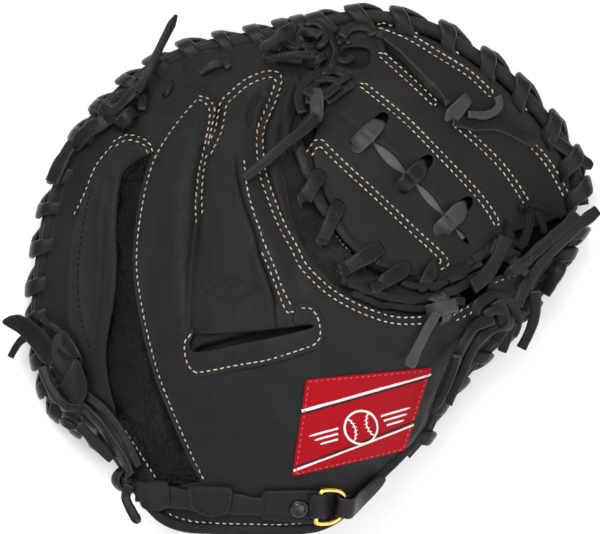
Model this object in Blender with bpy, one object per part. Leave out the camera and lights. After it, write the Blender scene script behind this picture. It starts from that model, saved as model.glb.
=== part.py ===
"""Leather catcher's mitt lying pocket down: padded palm, back panels, laced web, thumb hinge and wrist strap.

Lengths are in millimetres and are scaled to metres when a mesh is made. +X runs to the thumb, +Y to the
finger tips and +Z out of the back of the hand. Every piece is a slab between two height surfaces, a swept
tube or a small solid, with a clear gap to the next one.
"""

import math

import bpy
import numpy as np
from mathutils import Matrix, Vector
from mathutils.geometry import delaunay_2d_cdt

MM = 0.001

# Driving dimensions
LEATHER = 3.0            # thickness of the shell leather
LINING = 2.0             # thickness of the lining under the back
LAYER_GAP = 0.9          # clear gap between two stacked layers
LINING_GAP = 2.4         # clear gap under the back panels
SEAM_GAP = 0.7           # half the gap between two panels side by side
HAND_ROOM = 26.0         # height of the hand cavity
ROLL_WIDE = 4.2          # half width of the rolled rim
ROLL_HIGH = 7.0          # half height of the rolled rim
LACE_WIDE = 2.2          # half width of a lace
LACE_THICK = 0.9         # half thickness of a lace
LACE_CLEAR = 1.8         # from the rolled rim to the middle of its lace
RIM_PITCH = 18.5         # distance between two wraps of the rim lace
STEP = 9.0               # mesh step of the big panels
FINE = 6.5               # mesh step of the small panels
SHIFT = Vector((0.0, 0.0, 0.0))

# The thumb folds about a line through the heel crease and the middle of the web
HINGE_A = Vector((73.0, -106.0))
HINGE_B = Vector((110.0, 112.0))
HINGE_Z = 30.0
CLOSE_DEG = 25.0
OPEN_DEG = 5.0

BLACK = (0.028, 0.027, 0.028)
MATERIALS = {
    "shell_leather": (BLACK, 0.0, 0.62),
    "palm_leather": ((0.022, 0.021, 0.021), 0.0, 0.7),
    "lace_leather": ((0.02, 0.02, 0.021), 0.0, 0.5),
    "lining": ((0.03, 0.028, 0.028), 0.0, 0.85),
    "padding": ((0.55, 0.52, 0.46), 0.0, 0.95),
    "label_cloth": ((0.6, 0.01, 0.02), 0.0, 0.7),
    "ring_brass": ((0.83, 0.6, 0.2), 1.0, 0.25),
    "rivet_black": ((0.02, 0.02, 0.02), 0.6, 0.35),
}

# Outlines and centre lines in plan, (x, y)
RIM = [(-83, -106), (-94, -90), (-110, -78), (-122, -68), (-127, -52), (-130, -36), (-131, -19), (-129, 2),
       (-125, 26), (-117, 48), (-106, 68), (-91, 85), (-74, 98), (-54, 108), (-34, 112), (-14, 116), (0, 119)]
WEB_EDGE = [(9, 121), (20, 124), (36, 126), (51, 124), (70, 118), (89, 106), (103, 96), (116, 83), (127, 70),
            (136, 56), (140, 42), (142, 31)]
THUMB_RIM = [(140, 22), (135, 14), (130, 4), (122, -7), (114, -18), (104, -30), (91, -42), (78, -56),
             (68, -68), (62, -82), (52, -93)]
PALM_INNER = [(-4, 98), (-4, 84), (-5, 60), (0, 36), (10, 15), (26, -4), (46, -12), (66, -11), (82, -4),
              (98, 4), (112, 9), (122, 16)]
HEEL_EDGE = [(40, -99), (20, -98), (-5, -94), (-25, -96), (-50, -102), (-70, -105)]
CAVITY = [(-62, -140), (-64, -100), (-84, -60), (-88, 10), (-80, 44), (-58, 66), (-24, 74), (-14, 30),
          (6, -8), (40, -30), (74, -32), (70, -56), (50, -86), (34, -110), (24, -140)]
TOE_PANEL = [(-90, -89), (-102, -79), (-113, -69), (-119, -55), (-121, -36), (-122, -16), (-121, 4), (-117, 24),
             (-109, 44), (-99, 63), (-85, 79), (-69, 91), (-50, 100), (-31, 104), (-8, 108), (-8, 104),
             (-22, 102), (-38, 97), (-48, 92), (-58, 85), (-68, 74), (-76, 67), (-85, 69), (-94, 66),
             (-104, 50), (-114, 26), (-117.5, 0), (-118, -32), (-113, -57), (-102, -74), (-90, -86)]
PINKY_STALL = [(-116, 0), (-112, 26), (-102, 48), (-92, 62), (-85, 66), (-78, 63), (-76, 57), (-84, 54),
               (-88, 34), (-91, 0), (-90, -32), (-85, -62), (-78, -85), (-88, -86), (-100, -72), (-111, -56),
               (-116, -32)]
GUSSET = [(-82, 52), (-75, 52), (-80, 26), (-82, 0), (-80, -17), (-76, -36), (-70, -54), (-64, -72),
          (-57, -88), (-76, -86), (-83, -62), (-88, -32), (-89, 0), (-86, 34)]
RING_STALL = [(-81, 2), (-79, 26), (-74, 50), (-68, 64), (-59, 76), (-52, 84), (-46, 85), (-42, 80), (-44, 68),
              (-48, 54), (-52, 37), (-51, 20), (-48, 2)]
MIDDLE_STALL = [(-45, 2), (-46.2, 12), (-48.5, 37), (-47, 54), (-43, 68), (-40, 78), (-36, 84), (-29, 92),
                (-21, 96), (-13, 96), (-8, 92), (-12, 84), (-18, 72), (-20, 62), (-17, 48), (-13, 30),
                (-8, 16), (-2, 2)]
INDEX_STALL = [(-5, 103), (0, 100), (2, 84), (-1, 66), (-2, 51), (0, 31), (4, 14), (9, -3), (0, 2), (-6, 17),
               (-12, 31), (-16, 48), (-18, 62), (-16, 72), (-10, 84), (-6, 92)]
HAND_BACK = [(-81, 0), (-40, 0), (-1, 0), (2, -3), (12, -13), (24, -20), (36, -25), (48, -28), (61, -28),
             (71, -26), (81, -23), (94, -14), (102, -28), (89, -40), (75, -53), (64, -65), (59, -80), (51, -89),
             (38, -100), (20, -120), (0, -127), (-42, -126), (-47, -106), (-56, -90), (-64, -72), (-70, -56),
             (-76, -36), (-79, -18)]
HEEL_SIDE = [(-85, -89), (-57, -90), (-48, -106), (-44, -126), (-60, -125), (-70, -115), (-79, -103)]
THUMB_BACK = [(84, -20), (92, -16), (102, -8), (112, 2), (122, 10), (129, 12), (126, 6), (118, -6), (110, -16),
              (101, -27), (88, -40)]
BACK_LINING = [(-118, 0), (-115, 25), (-107, 45), (-97, 62), (-84, 78), (-68, 90), (-49, 99), (-30, 103),
               (-10, 106), (-4, 96), (-1, 84), (-4, 66), (-5, 51), (-3, 31), (1, 14), (8, -6), (24, -22),
               (48, -30), (71, -29), (91, -20), (110, -2), (125, 8), (118, -6), (101, -26), (88, -39),
               (74, -52), (62, -64), (57, -80), (49, -88), (36, -99), (18, -118), (0, -124), (-42, -124),
               (-60, -122), (-70, -112), (-78, -101), (-88, -88), (-101, -76), (-112, -66), (-117, -52),
               (-119, -34)]
INDEX_BAND = [(-53, -1), (-30, 0), (-8, 1), (-5, -9), (-3, -19), (-16, -24), (-30, -28), (-51, -31)]
FINGER_SLOT = [(-51, -37), (-50, -47), (-30, -45), (0, -38), (6, -33), (3, -25), (-4, -25), (-28, -34)]
LABEL = [(3, -56), (66, -50), (52, -92), (-4, -104)]
WEB_UPPER = [(14, 112), (26, 116), (36, 117), (51, 115), (68, 109), (85, 98), (98, 88), (110, 76), (120, 64),
             (127, 52), (131, 41), (133, 27), (120, 21), (101, 16), (91, 8), (84, 14), (73, 27), (54, 48),
             (38, 63), (22, 77), (12, 92)]
WEB_LOWER = [(10, 63), (16, 73), (21, 73), (36, 60), (52, 44.5), (70, 25), (81, 11), (80, 4), (74, 1.5), (62, 0),
             (51, 3), (38, 11), (26, 25), (15, 43)]
WEB_LOWER_EDGE = [(4, 60), (8, 42), (18, 22), (32, 5), (48, -4), (62, -7), (73, -5)]
WEB_TIE = [(24, 75), (38, 61.5), (54, 46), (72, 26), (82, 14)]
TEES = [(35, 67), (57, 47), (77, 26)]
CROTCH_ROLL = [(-6, 78), (-7, 58), (-4, 34), (6, 10), (23, -9), (46, -18), (66, -17), (78, -11)]
LINER = [(-60, -92), (-66, -88), (-82, -60), (-86, 10), (-78, 42), (-58, 64), (-25, 72), (-17, 30), (2, -10),
         (36, -34), (66, -36), (64, -56), (50, -78), (38, -90), (0, -92)]
PAD_INNER = [(-13, 94), (-13, 78), (-16, 55), (-14, 30), (-4, 4), (16, -20), (44, -30), (64, -30), (80, -22),
             (97, -12), (110, -3)]
PAD_HEEL = [(40, -95), (20, -94), (-5, -90), (-25, -92), (-50, -98), (-68, -100)]
WRIST_EDGE = [(-66, -123), (-58, -129), (-42, -130.5), (-20, -131), (0, -131), (14, -127.5), (26, -118), (42, -101),
              (52, -93)]


def spline_surface(points):
    """A smooth height over the plan through the given (x, y, height) points, as a thin plate would lie."""
    xy = np.array([(p[0], p[1]) for p in points], float)
    heights = np.array([p[2] for p in points], float)

    def bend(r2):
        return 0.5 * r2 * np.log(np.maximum(r2, 1e-9))

    apart = ((xy[:, None] - xy[None]) ** 2).sum(2)
    plane = np.column_stack([np.ones(len(xy)), xy])
    system = np.block([[bend(apart) + 30.0 * np.eye(len(xy)), plane], [plane.T, np.zeros((3, 3))]])
    weights = np.linalg.solve(system, np.concatenate([heights, np.zeros(3)]))

    def height(p):
        p = np.asarray(p, float).reshape(-1, 2)
        far = ((p[:, None] - xy[None]) ** 2).sum(2)
        return bend(far) @ weights[:-3] + np.column_stack([np.ones(len(p)), p]) @ weights[-3:]

    return height


# Heights of the outer face of the back, (x, y, z)
back_spline = spline_surface([
    (-132, 0, 24), (-130, 30, 25), (-121, 58, 27), (-105, 84, 29), (-85, 103, 31), (-58, 116, 33),
    (-30, 121, 35), (-8, 124, 36), (-133, -25, 22), (-131, -50, 22), (-122, -72, 24), (-98, -84, 34),
    (-85, -100, 44), (-70, -122, 62), (139, 14, 30), (133, 1, 27), (125, -12, 26), (117, -20, 26),
    (107, -34, 26), (93, -46, 27), (80, -60, 32), (68, -74, 42), (66, -88, 48), (50, -97, 58), (38, -104, 64),
    (-50, -130, 76), (-20, -132, 82), (10, -131, 78), (25, -124, 72), (0, 0, 98), (20, -40, 103),
    (-40, -60, 98), (-60, 0, 80), (-90, 0, 60), (-110, 0, 42), (-25, 70, 66), (-60, 85, 46), (-20, -100, 94),
    (35, -90, 82), (60, -30, 88), (80, -35, 68), (110, -10, 40), (-10, 40, 84), (-50, 40, 72), (-85, 45, 52),
    (-95, -50, 58), (-70, -60, 84), (-85, -75, 60), (0, 100, 50), (8, 60, 72), (12, 20, 88), (78, -10, 68),
])
# Heights of the outer face of the palm, which is the pocket
palm_spline = spline_surface([
    (-132, 0, 6), (-130, 30, 7), (-121, 58, 8), (-105, 84, 9), (-85, 103, 11), (-58, 116, 13), (-30, 121, 14),
    (-8, 124, 15), (-133, -25, 3), (-131, -50, 1), (-122, -72, 0), (-98, -84, -1), (139, 14, 12), (133, 1, 8),
    (125, -12, 5), (107, -34, 2), (93, -46, 0), (80, -60, 0), (68, -74, -1), (-85, -95, -1), (-60, -80, -2),
    (-40, -95, 4), (-5, -98, 26), (30, -95, 5), (45, -70, -2), (50, -92, 0), (-5, -70, 32), (0, 0, 54),
    (30, 30, 58), (-60, 0, 42), (0, 60, 44), (-30, -30, 45), (30, -20, 50), (-90, 0, 26), (-60, 60, 30),
    (60, -20, 42), (90, -10, 28), (20, 80, 46), (0, 110, 22), (62, -45, 22), (-60, -40, 24), (-35, -65, 14),
    (28, -62, 16),
])
# Heights of the outer face of the web
web_spline = spline_surface([
    (0, 124, 34), (36, 131, 31), (62, 127, 30), (92, 110, 30), (118, 88, 28), (135, 65, 26), (144, 45, 24),
    (146, 28, 24), (70, 106, 40), (65, 56, 64), (56, 45, 68), (40, 31, 75), (100, 17, 50), (137, 27, 26),
    (5, 60, 73), (10, 30, 78), (30, 8, 80), (60, -5, 72), (78, 5, 60), (20, 62, 70), (30, 90, 54),
    (115, 50, 36), (95, 60, 46),
])


def back(p):
    return back_spline(p)


def palm(p):
    return np.maximum(palm_spline(p), 0.0)


def web(p):
    return web_spline(p)


def distance_to(outline, p):
    """Distance of each point of p to the closed outline."""
    a = np.asarray(outline, float)
    b = np.roll(a, -1, axis=0)
    p = np.asarray(p, float).reshape(-1, 1, 2)
    along = b - a
    t = ((p - a) * along).sum(2) / np.maximum((along ** 2).sum(1), 1e-9)
    near = a + np.clip(t, 0, 1)[..., None] * along
    return np.sqrt(((p - near) ** 2).sum(2)).min(1)


def inside(outline, p):
    """Which points of p lie inside the closed outline."""
    a = np.asarray(outline, float)
    b = np.roll(a, -1, axis=0)
    p = np.asarray(p, float).reshape(-1, 1, 2)
    crosses = (a[:, 1] > p[..., 1]) != (b[:, 1] > p[..., 1])
    rise = np.where(np.abs(b[:, 1] - a[:, 1]) < 1e-9, 1e-9, b[:, 1] - a[:, 1])
    at = a[:, 0] + (p[..., 1] - a[:, 1]) * (b[:, 0] - a[:, 0]) / rise
    return (crosses & (p[..., 0] < at)).sum(1) % 2 == 1


def hand_room(p):
    """Height of the cavity for the hand, none outside its outline."""
    reach = np.clip(distance_to(CAVITY, p) / 22.0, 0, 1)
    rise = reach * reach * (3 - 2 * reach)
    spare = np.maximum(back(p) - palm(p) - 18.0, 0.0)
    return np.minimum(HAND_ROOM, spare) * rise * inside(CAVITY, p)


def lining_under(p):
    return back(p) - LEATHER - LINING_GAP - LINING


def liner_top(p):
    return lining_under(p) - LAYER_GAP - hand_room(p)


def pad_top(p):
    return liner_top(p) - 1.5 - LINING_GAP


def raised(base, outline, rise, width):
    """A surface that swells above base by rise, from nothing at its outline to full at width inside it."""
    def height(p):
        reach = np.clip(distance_to(outline, p) / width, 0, 1)
        return base(p) + rise * np.sin(reach * math.pi / 2)
    return height


def offset(base, by):
    return lambda p: base(p) + by


def curve_through(points, spacing, closed=False):
    """Points at about the given spacing on a smooth curve through the given ones, in 2 or 3 dimensions."""
    pts = [Vector(p) for p in points]
    count = len(pts)
    made = []
    for i in range(count if closed else count - 1):
        if closed:
            a, b, c, d = (pts[(i + k - 1) % count] for k in range(4))
        else:
            a, b, c, d = (pts[min(max(i + k - 1, 0), count - 1)] for k in range(4))
        pieces = max(1, round((c - b).length / spacing))
        for j in range(pieces):
            t = j / pieces
            made.append(0.5 * (2 * b + (c - a) * t + (2 * a - 5 * b + 4 * c - d) * t * t
                               + (3 * b - 3 * c + d - a) * t ** 3))
    if not closed:
        made.append(pts[-1].copy())
    return made


def even(points, count):
    """The line through points, cut again into count equal lengths."""
    p = np.array([tuple(v) for v in points])
    run = np.concatenate([[0], np.cumsum(np.linalg.norm(np.diff(p, axis=0), axis=1))])
    at = np.linspace(0, run[-1], count + 1)
    return np.column_stack([np.interp(at, run, p[:, k]) for k in range(p.shape[1])])


def inset(outline, by):
    """The closed outline moved inwards by the given distance."""
    p = np.array([tuple(v) for v in outline], float)
    area = np.sum(p[:, 0] * np.roll(p[:, 1], -1) - np.roll(p[:, 0], -1) * p[:, 1])
    ahead = np.roll(p, -1, axis=0) - np.roll(p, 1, axis=0)
    ahead /= np.linalg.norm(ahead, axis=1)[:, None]
    inward = np.column_stack([-ahead[:, 1], ahead[:, 0]]) * (1 if area > 0 else -1)
    return p + inward * by


def hinge_side(p):
    """Signed distance in plan from the hinge line, positive towards the thumb."""
    along = (HINGE_B - HINGE_A).normalized()
    p = np.asarray(p, float).reshape(-1, 2)
    return (p[:, 0] - HINGE_A.x) * along.y - (p[:, 1] - HINGE_A.y) * along.x


def keep_side(outline, sign, gap):
    """The part of the outline that lies on one side of the hinge line and clear of it by gap."""
    p = np.array([tuple(v) for v in outline], float)
    depth = sign * hinge_side(p) - gap
    kept = []
    for i in range(len(p)):
        j = (i + 1) % len(p)
        if depth[i] >= 0:
            kept.append(p[i])
        if (depth[i] >= 0) != (depth[j] >= 0):
            kept.append(p[i] + (p[j] - p[i]) * depth[i] / (depth[i] - depth[j]))
    return np.array(kept)


def material(slot):
    found = bpy.data.materials.get(slot)
    if found:
        return found
    colour, metallic, roughness = MATERIALS[slot]
    made = bpy.data.materials.new(slot)
    made.use_nodes = True
    shader = made.node_tree.nodes["Principled BSDF"]
    shader.inputs["Base Color"].default_value = (*colour, 1.0)
    shader.inputs["Metallic"].default_value = metallic
    shader.inputs["Roughness"].default_value = roughness
    return made


def add_mesh(name, verts, faces, slot):
    """One closed solid from points in millimetres."""
    mesh = bpy.data.meshes.new(name)
    mesh.from_pydata([(Vector(v) + SHIFT) * MM for v in verts], [], [tuple(int(i) for i in f) for f in faces])
    mesh.validate()
    mesh.materials.append(material(slot))
    mesh.polygons.foreach_set("use_smooth", [True] * len(mesh.polygons))
    made = bpy.data.objects.new(name, mesh)
    bpy.context.collection.objects.link(made)
    return made


def fill(outline, step, holes=()):
    """Triangles that fill the outline less its holes, on a shared triangular grid."""
    loops = [np.asarray(outline, float)] + [np.asarray(h, float) for h in holes]
    low, high = loops[0].min(0), loops[0].max(0)
    rows = np.arange(math.floor(low[1] / (step * 0.866)), math.ceil(high[1] / (step * 0.866)) + 1)
    grid = []
    for r in rows:
        start = math.floor(low[0] / step) - 1
        for c in range(start, math.ceil(high[0] / step) + 2):
            grid.append(((c + 0.5 * (r % 2)) * step, r * step * 0.866))
    grid = np.array(grid)
    clear = inside(loops[0], grid) & (distance_to(loops[0], grid) > 0.45 * step)
    for hole in loops[1:]:
        clear &= ~inside(hole, grid) & (distance_to(hole, grid) > 0.45 * step)
    points, edges = [], []
    for loop in loops:
        first = len(points)
        points += [Vector(p) for p in loop]
        edges += [(first + i, first + (i + 1) % len(loop)) for i in range(len(loop))]
    points += [Vector(p) for p in grid[clear]]
    verts, _, faces, _, _, _ = delaunay_2d_cdt(points, edges, [], 0, 1e-4)
    xy = np.array([tuple(v) for v in verts])
    middles = np.array([xy[list(f)].mean(0) for f in faces])
    wanted = inside(loops[0], middles)
    for hole in loops[1:]:
        wanted &= ~inside(hole, middles)
    kept = []
    for face, keep in zip(faces, wanted):
        a, b, c = (xy[i] for i in face)
        area = (b[0] - a[0]) * (c[1] - a[1]) - (b[1] - a[1]) * (c[0] - a[0])
        if keep and abs(area) > 1e-6:
            kept.append(tuple(face) if area > 0 else tuple(reversed(face)))
    return xy, kept


def slab(name, outline, top, bottom, slot, step=STEP, holes=()):
    """A sheet between two height surfaces, closed along its outline."""
    xy, faces = fill(outline, step, holes)
    used = sorted({i for f in faces for i in f})
    renumber = {old: new for new, old in enumerate(used)}
    xy = xy[used]
    faces = [tuple(renumber[i] for i in f) for f in faces]
    count = len(xy)
    verts = [(*p, z) for p, z in zip(xy, top(xy))] + [(*p, z) for p, z in zip(xy, bottom(xy))]
    directed = {(f[i], f[(i + 1) % 3]) for f in faces for i in range(3)}
    walls = []
    for a, b in directed:
        if (b, a) not in directed:
            walls += [(b, a, a + count), (b, a + count, b + count)]
    under = [(c + count, b + count, a + count) for a, b, c in faces]
    return add_mesh(name, verts, faces + under + walls, slot)


def panel(name, outline, slot="shell_leather", rise=0.0, width=10.0, step=FINE, gap=SEAM_GAP, holes=()):
    """A back panel: outer leather that follows the back, raised over its padding."""
    edge = inset(outline, gap)
    return slab(name, edge, raised(back, edge, rise, width), offset(back, -LEATHER), slot, step, holes)


def frames(path, ups):
    """Tangent, side and up directions along a path, from a wanted up direction at each point."""
    p = np.asarray(path, float)
    ahead = np.gradient(p, axis=0)
    ahead /= np.linalg.norm(ahead, axis=1)[:, None]
    side = np.cross(ahead, ups)
    side /= np.linalg.norm(side, axis=1)[:, None]
    return ahead, side, np.cross(side, ahead)


def sweep(name, path, ups, wide, high, slot, sides=6, taper=None):
    """A bar of elliptical section along a path; taper scales its width at each point."""
    p = np.asarray(path, float)
    _, side, up = frames(p, ups)
    scale = np.ones(len(p)) if taper is None else np.asarray(taper)
    verts = []
    for i in range(len(p)):
        for k in range(sides):
            turn = 2 * math.pi * (k + 0.5) / sides
            verts.append(p[i] + side[i] * wide * scale[i] * math.cos(turn) + up[i] * high * math.sin(turn))
    faces = []
    for i in range(len(p) - 1):
        for k in range(sides):
            a, b = i * sides + k, i * sides + (k + 1) % sides
            faces.append((b, a, a + sides, b + sides))
    faces.append(tuple(range(sides)))
    faces.append(tuple(reversed(range((len(p) - 1) * sides, len(p) * sides))))
    return add_mesh(name, verts, faces, slot)


def level(path):
    return np.tile([0.0, 0.0, 1.0], (len(path), 1))


def normals(surface, xy):
    """Upward normals of a height surface at plan points."""
    xy = np.asarray(xy, float)
    dx = (surface(xy + [0.5, 0]) - surface(xy - [0.5, 0]))
    dy = (surface(xy + [0, 0.5]) - surface(xy - [0, 0.5]))
    n = np.column_stack([-dx, -dy, np.ones(len(xy))])
    return n / np.linalg.norm(n, axis=1)[:, None]


def on_surface(points, surface, lift, spacing=5.0):
    """A path through plan points, lifted above a surface, with the surface's normals."""
    xy = np.array([tuple(v) for v in curve_through(points, spacing)])
    up = normals(surface, xy)
    return np.column_stack([xy, surface(xy)]) + up * lift, up


def wraps(line, middle, wide, high, pitch, steps=10, turns_from=0.25):
    """A lace wound round a rolled edge; middle gives the height of the edge's middle."""
    rough = np.array([tuple(v) for v in curve_through(line, 4.0)])
    length = np.linalg.norm(np.diff(rough, axis=0), axis=1).sum()
    turns = max(2, round(length / pitch))
    xy = even(rough, turns * steps)
    centre = np.column_stack([xy, middle(xy)])
    ahead = np.gradient(xy, axis=0)
    ahead /= np.linalg.norm(ahead, axis=1)[:, None]
    out = np.column_stack([ahead[:, 1], -ahead[:, 0], np.zeros(len(xy))])
    turn = 2 * math.pi * (turns_from + np.arange(len(xy)) / steps)
    away = out * np.cos(turn)[:, None] * wide
    away[:, 2] += np.sin(turn) * high
    away_unit = out * np.cos(turn)[:, None] * high
    away_unit[:, 2] += np.sin(turn) * wide
    return centre + away, away_unit / np.linalg.norm(away_unit, axis=1)[:, None]


def solid(name, centre, size, turn_deg, slot, rings=6, around=10, up=(0, 0, 1)):
    """A rounded lump, size being its half extents, turned about its up direction."""
    lean = Vector((0, 0, 1)).rotation_difference(Vector(up)).to_matrix()
    turn = lean @ Matrix.Rotation(math.radians(turn_deg), 3, "Z")
    verts = [turn @ Vector((0, 0, size[2]))]
    for i in range(1, rings):
        tilt = math.pi * i / rings
        for k in range(around):
            a = 2 * math.pi * k / around
            verts.append(turn @ Vector((size[0] * math.sin(tilt) * math.cos(a),
                                        size[1] * math.sin(tilt) * math.sin(a), size[2] * math.cos(tilt))))
    verts.append(turn @ Vector((0, 0, -size[2])))
    faces = []
    last = len(verts) - 1
    for k in range(around):
        n = (k + 1) % around
        faces.append((0, 1 + k, 1 + n))
        for i in range(rings - 2):
            a = 1 + i * around
            faces.append((a + k, a + around + k, a + around + n, a + n))
        faces.append((last, last - around + n, last - around + k))
    return add_mesh(name, [v + Vector(centre) for v in verts], faces, slot)


def rim_middle(p):
    """Height of the middle of the rim roll, between the back and the palm."""
    return 0.5 * (back(p) + palm(p))


def split_line(line, sign, gap):
    """The part of a centre line on one side of the hinge, clear of it by gap."""
    fine = np.array([tuple(v) for v in curve_through(line, 3.0)])
    return fine[sign * hinge_side(fine) > gap]


def rim(suffix, line, middle, wide, high, pitch):
    """A rolled rim and the lace that winds round it."""
    xy = even(line, max(4, round(len(line) * 3.0 / 8.0)))
    path = np.column_stack([xy, middle(xy)])
    sweep("rim_roll_" + suffix, path, level(path), wide, high, "shell_leather", sides=8)
    wound, away = wraps(line, middle, wide + LACE_CLEAR, high + LACE_CLEAR, pitch)
    sweep("rim_lace_" + suffix, wound, away, LACE_WIDE, LACE_THICK, "lace_leather", sides=4)


def strip(name, points, surface, lift, wide, high, slot="lace_leather", spacing=5.0, sides=6, taper=None):
    """A lace or strap lying over a surface."""
    path, up = on_surface(points, surface, lift, spacing)
    scale = None if taper is None else np.interp(np.linspace(0, 1, len(path)), *taper)
    return sweep(name, path, up, wide, high, slot, sides, scale)



def beside(line, by):
    """An open line moved to its right by the given distance."""
    p = np.array([tuple(v) for v in curve_through(line, STEP)])
    ahead = np.gradient(p, axis=0)
    ahead /= np.linalg.norm(ahead, axis=1)[:, None]
    return [tuple(v) for v in p + np.column_stack([ahead[:, 1], -ahead[:, 0]]) * by]


def arch(base, outline, lift, rise, across):
    """A surface lifted over base that arches along X or Y across the outline, for a loop over a strap."""
    p = np.asarray(outline, float)[:, across]

    def height(q):
        q = np.asarray(q, float).reshape(-1, 2)
        share = np.clip((q[:, across] - p.min()) / (p.max() - p.min()), 0, 1)
        return base(q) + lift + rise * np.sin(math.pi * share) ** 0.6
    return height


def rectangle(x0, x1, y0, y1, spacing=3.0):
    corners = [(x0, y0), (x1, y0), (x1, y1), (x0, y1)]
    made = []
    for (ax, ay), (bx, by) in zip(corners, corners[1:] + corners[:1]):
        pieces = max(1, round(math.dist((ax, ay), (bx, by)) / spacing))
        made += [(ax + (bx - ax) * k / pieces, ay + (by - ay) * k / pieces) for k in range(pieces)]
    return made


def d_ring(name, centre, out, along, bar, reach, wire, slot):
    """A D-shaped ring: a straight bar of half length bar at its centre and a bow that reaches out."""
    up = out.cross(along)
    outline = [(0.0, -bar + 2.0), (0.0, 0.0), (0.0, bar - 2.0), (0.8, bar - 0.4), (3.0, bar)]
    for k in range(1, 8):
        a = math.pi / 2 - math.pi * k / 8
        outline.append((3.0 + (reach - 3.0) * math.cos(a) ** 0.6, bar * math.sin(a)))
    outline += [(3.0, -bar), (0.8, -bar + 0.4)]
    count = len(outline)
    verts = []
    for i in range(count):
        ahead = Vector(outline[(i + 1) % count]) - Vector(outline[i - 1])
        ahead.normalize()
        for k in range(6):
            a = math.pi * k / 3
            x = outline[i][0] + ahead.y * wire * math.cos(a)
            y = outline[i][1] - ahead.x * wire * math.cos(a)
            verts.append(centre + out * x + along * y + up * wire * math.sin(a))
    faces = []
    for i in range(count):
        j = (i + 1) % count
        for k in range(6):
            n = (k + 1) % 6
            faces.append((i * 6 + n, i * 6 + k, j * 6 + k, j * 6 + n))
    return add_mesh(name, verts, faces, slot)


def palm_side():
    """Palm leather, padding and the lining of the hand."""
    room = ROLL_WIDE + 2 * LACE_CLEAR + 0.6
    loop = beside(RIM, room) + PALM_INNER + beside(THUMB_RIM, room) + HEEL_EDGE
    smooth = curve_through(loop, STEP, True)
    slab("palm_fingers", keep_side(smooth, -1, 7.0), offset(palm, LEATHER), palm, "palm_leather")
    slab("palm_thumb", keep_side(smooth, 1, 7.0), offset(palm, LEATHER), palm, "palm_leather")
    loop = beside(RIM, room + 3) + PAD_INNER + beside(THUMB_RIM[2:], room + 3) + PAD_HEEL
    smooth = curve_through(loop, STEP, True)
    under = offset(palm, LEATHER + LAYER_GAP)
    slab("padding_fingers", keep_side(smooth, -1, 7.0), pad_top, under, "padding")
    slab("padding_thumb", keep_side(smooth, 1, 7.0), pad_top, under, "padding")
    slab("hand_liner", curve_through(LINER, STEP, True), liner_top, offset(liner_top, -1.5), "lining")


def back_side():
    """Lining and outer panels of the back."""
    loop = curve_through(BACK_LINING, STEP, True)
    top = offset(back, -LEATHER - LINING_GAP)
    slab("back_lining", keep_side(loop, -1, 6.0), top, lining_under, "lining")
    slab("back_lining_thumb", keep_side(loop, 1, 6.0), top, lining_under, "lining")
    panel("toe_panel", TOE_PANEL)
    panel("pinky_stall", curve_through(PINKY_STALL, FINE, True), rise=4.0, width=9.0)
    panel("gusset", curve_through(GUSSET, FINE, True), rise=-1.0, width=3.0)
    panel("ring_stall", curve_through(RING_STALL, FINE, True), rise=5.0, width=9.0)
    panel("middle_stall", curve_through(MIDDLE_STALL, FINE, True), rise=5.0, width=9.0)
    panel("index_stall", curve_through(INDEX_STALL, FINE, True), rise=3.0, width=5.0)
    panel("hand_back", keep_side(HAND_BACK, -1, 2.4), holes=[FINGER_SLOT])
    panel("heel_side", HEEL_SIDE)
    panel("thumb_back", keep_side(THUMB_BACK, 1, 2.4), rise=2.5, width=6.0)
    slab("index_band", INDEX_BAND, offset(back, 2.9), offset(back, LAYER_GAP), "shell_leather", FINE)
    slab("label", rectangle_between(LABEL), offset(back, 2.3), offset(back, LAYER_GAP), "label_cloth", FINE)


def rectangle_between(corners, spacing=8.0):
    """The closed outline through the corners with points along its straight sides."""
    made = []
    for a, b in zip(corners, corners[1:] + corners[:1]):
        pieces = max(1, round(math.dist(a, b) / spacing))
        made += [(a[0] + (b[0] - a[0]) * k / pieces, a[1] + (b[1] - a[1]) * k / pieces) for k in range(pieces)]
    return made


def wrist():
    """Rolled wrist edge, strap with its loops, buckle tab, ring and strap end."""
    strip("wrist_binding", WRIST_EDGE, offset(back, -2.0), 0.0, 2.4, 3.0, "shell_leather", 6.0, 8)
    loop_left = rectangle(-78, -67, -121, -106)
    loop_mid = rectangle(-55, -34, -124, -108)
    for name, outline in (("strap_loop_side", loop_left), ("strap_loop_middle", loop_mid)):
        slab(name, outline, arch(back, outline, 2.3, 5.2, 1), arch(back, outline, 0.8, 5.2, 1),
             "shell_leather", 4.0)
    strip("wrist_strap", [(-76, -113), (-66, -114), (-45, -116), (-22, -117)], back, 2.4, 4.1, 0.9,
          "shell_leather")
    tab = rectangle_between([(-18, -126), (-18, -110), (6, -110), (13, -112), (13, -126)], 5.0)
    slab("buckle_tab", tab, offset(back, 2.9), offset(back, LAYER_GAP), "shell_leather", 5.0)
    middle = [(-4.0, -118.0)]
    solid("tab_rivet", (*middle[0], back(middle)[0] + 5.0), (4.5, 4.5, 1.3), 0, "rivet_black", 6, 12,
          normals(back, middle)[0])
    d_ring("buckle_ring", RING_AT, RING_OUT, RING_ALONG, 8.8, RING_REACH, 1.15, "ring_brass")
    keeper = rectangle(5.0, 12.6, -124.0, -114.0, 2.0)
    slab("ring_keeper", keeper, arch(back, keeper, 4.6, 4.6, 0), arch(back, keeper, 3.3, 4.4, 0),
         "shell_leather", 3.0)
    strap_end()


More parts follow.
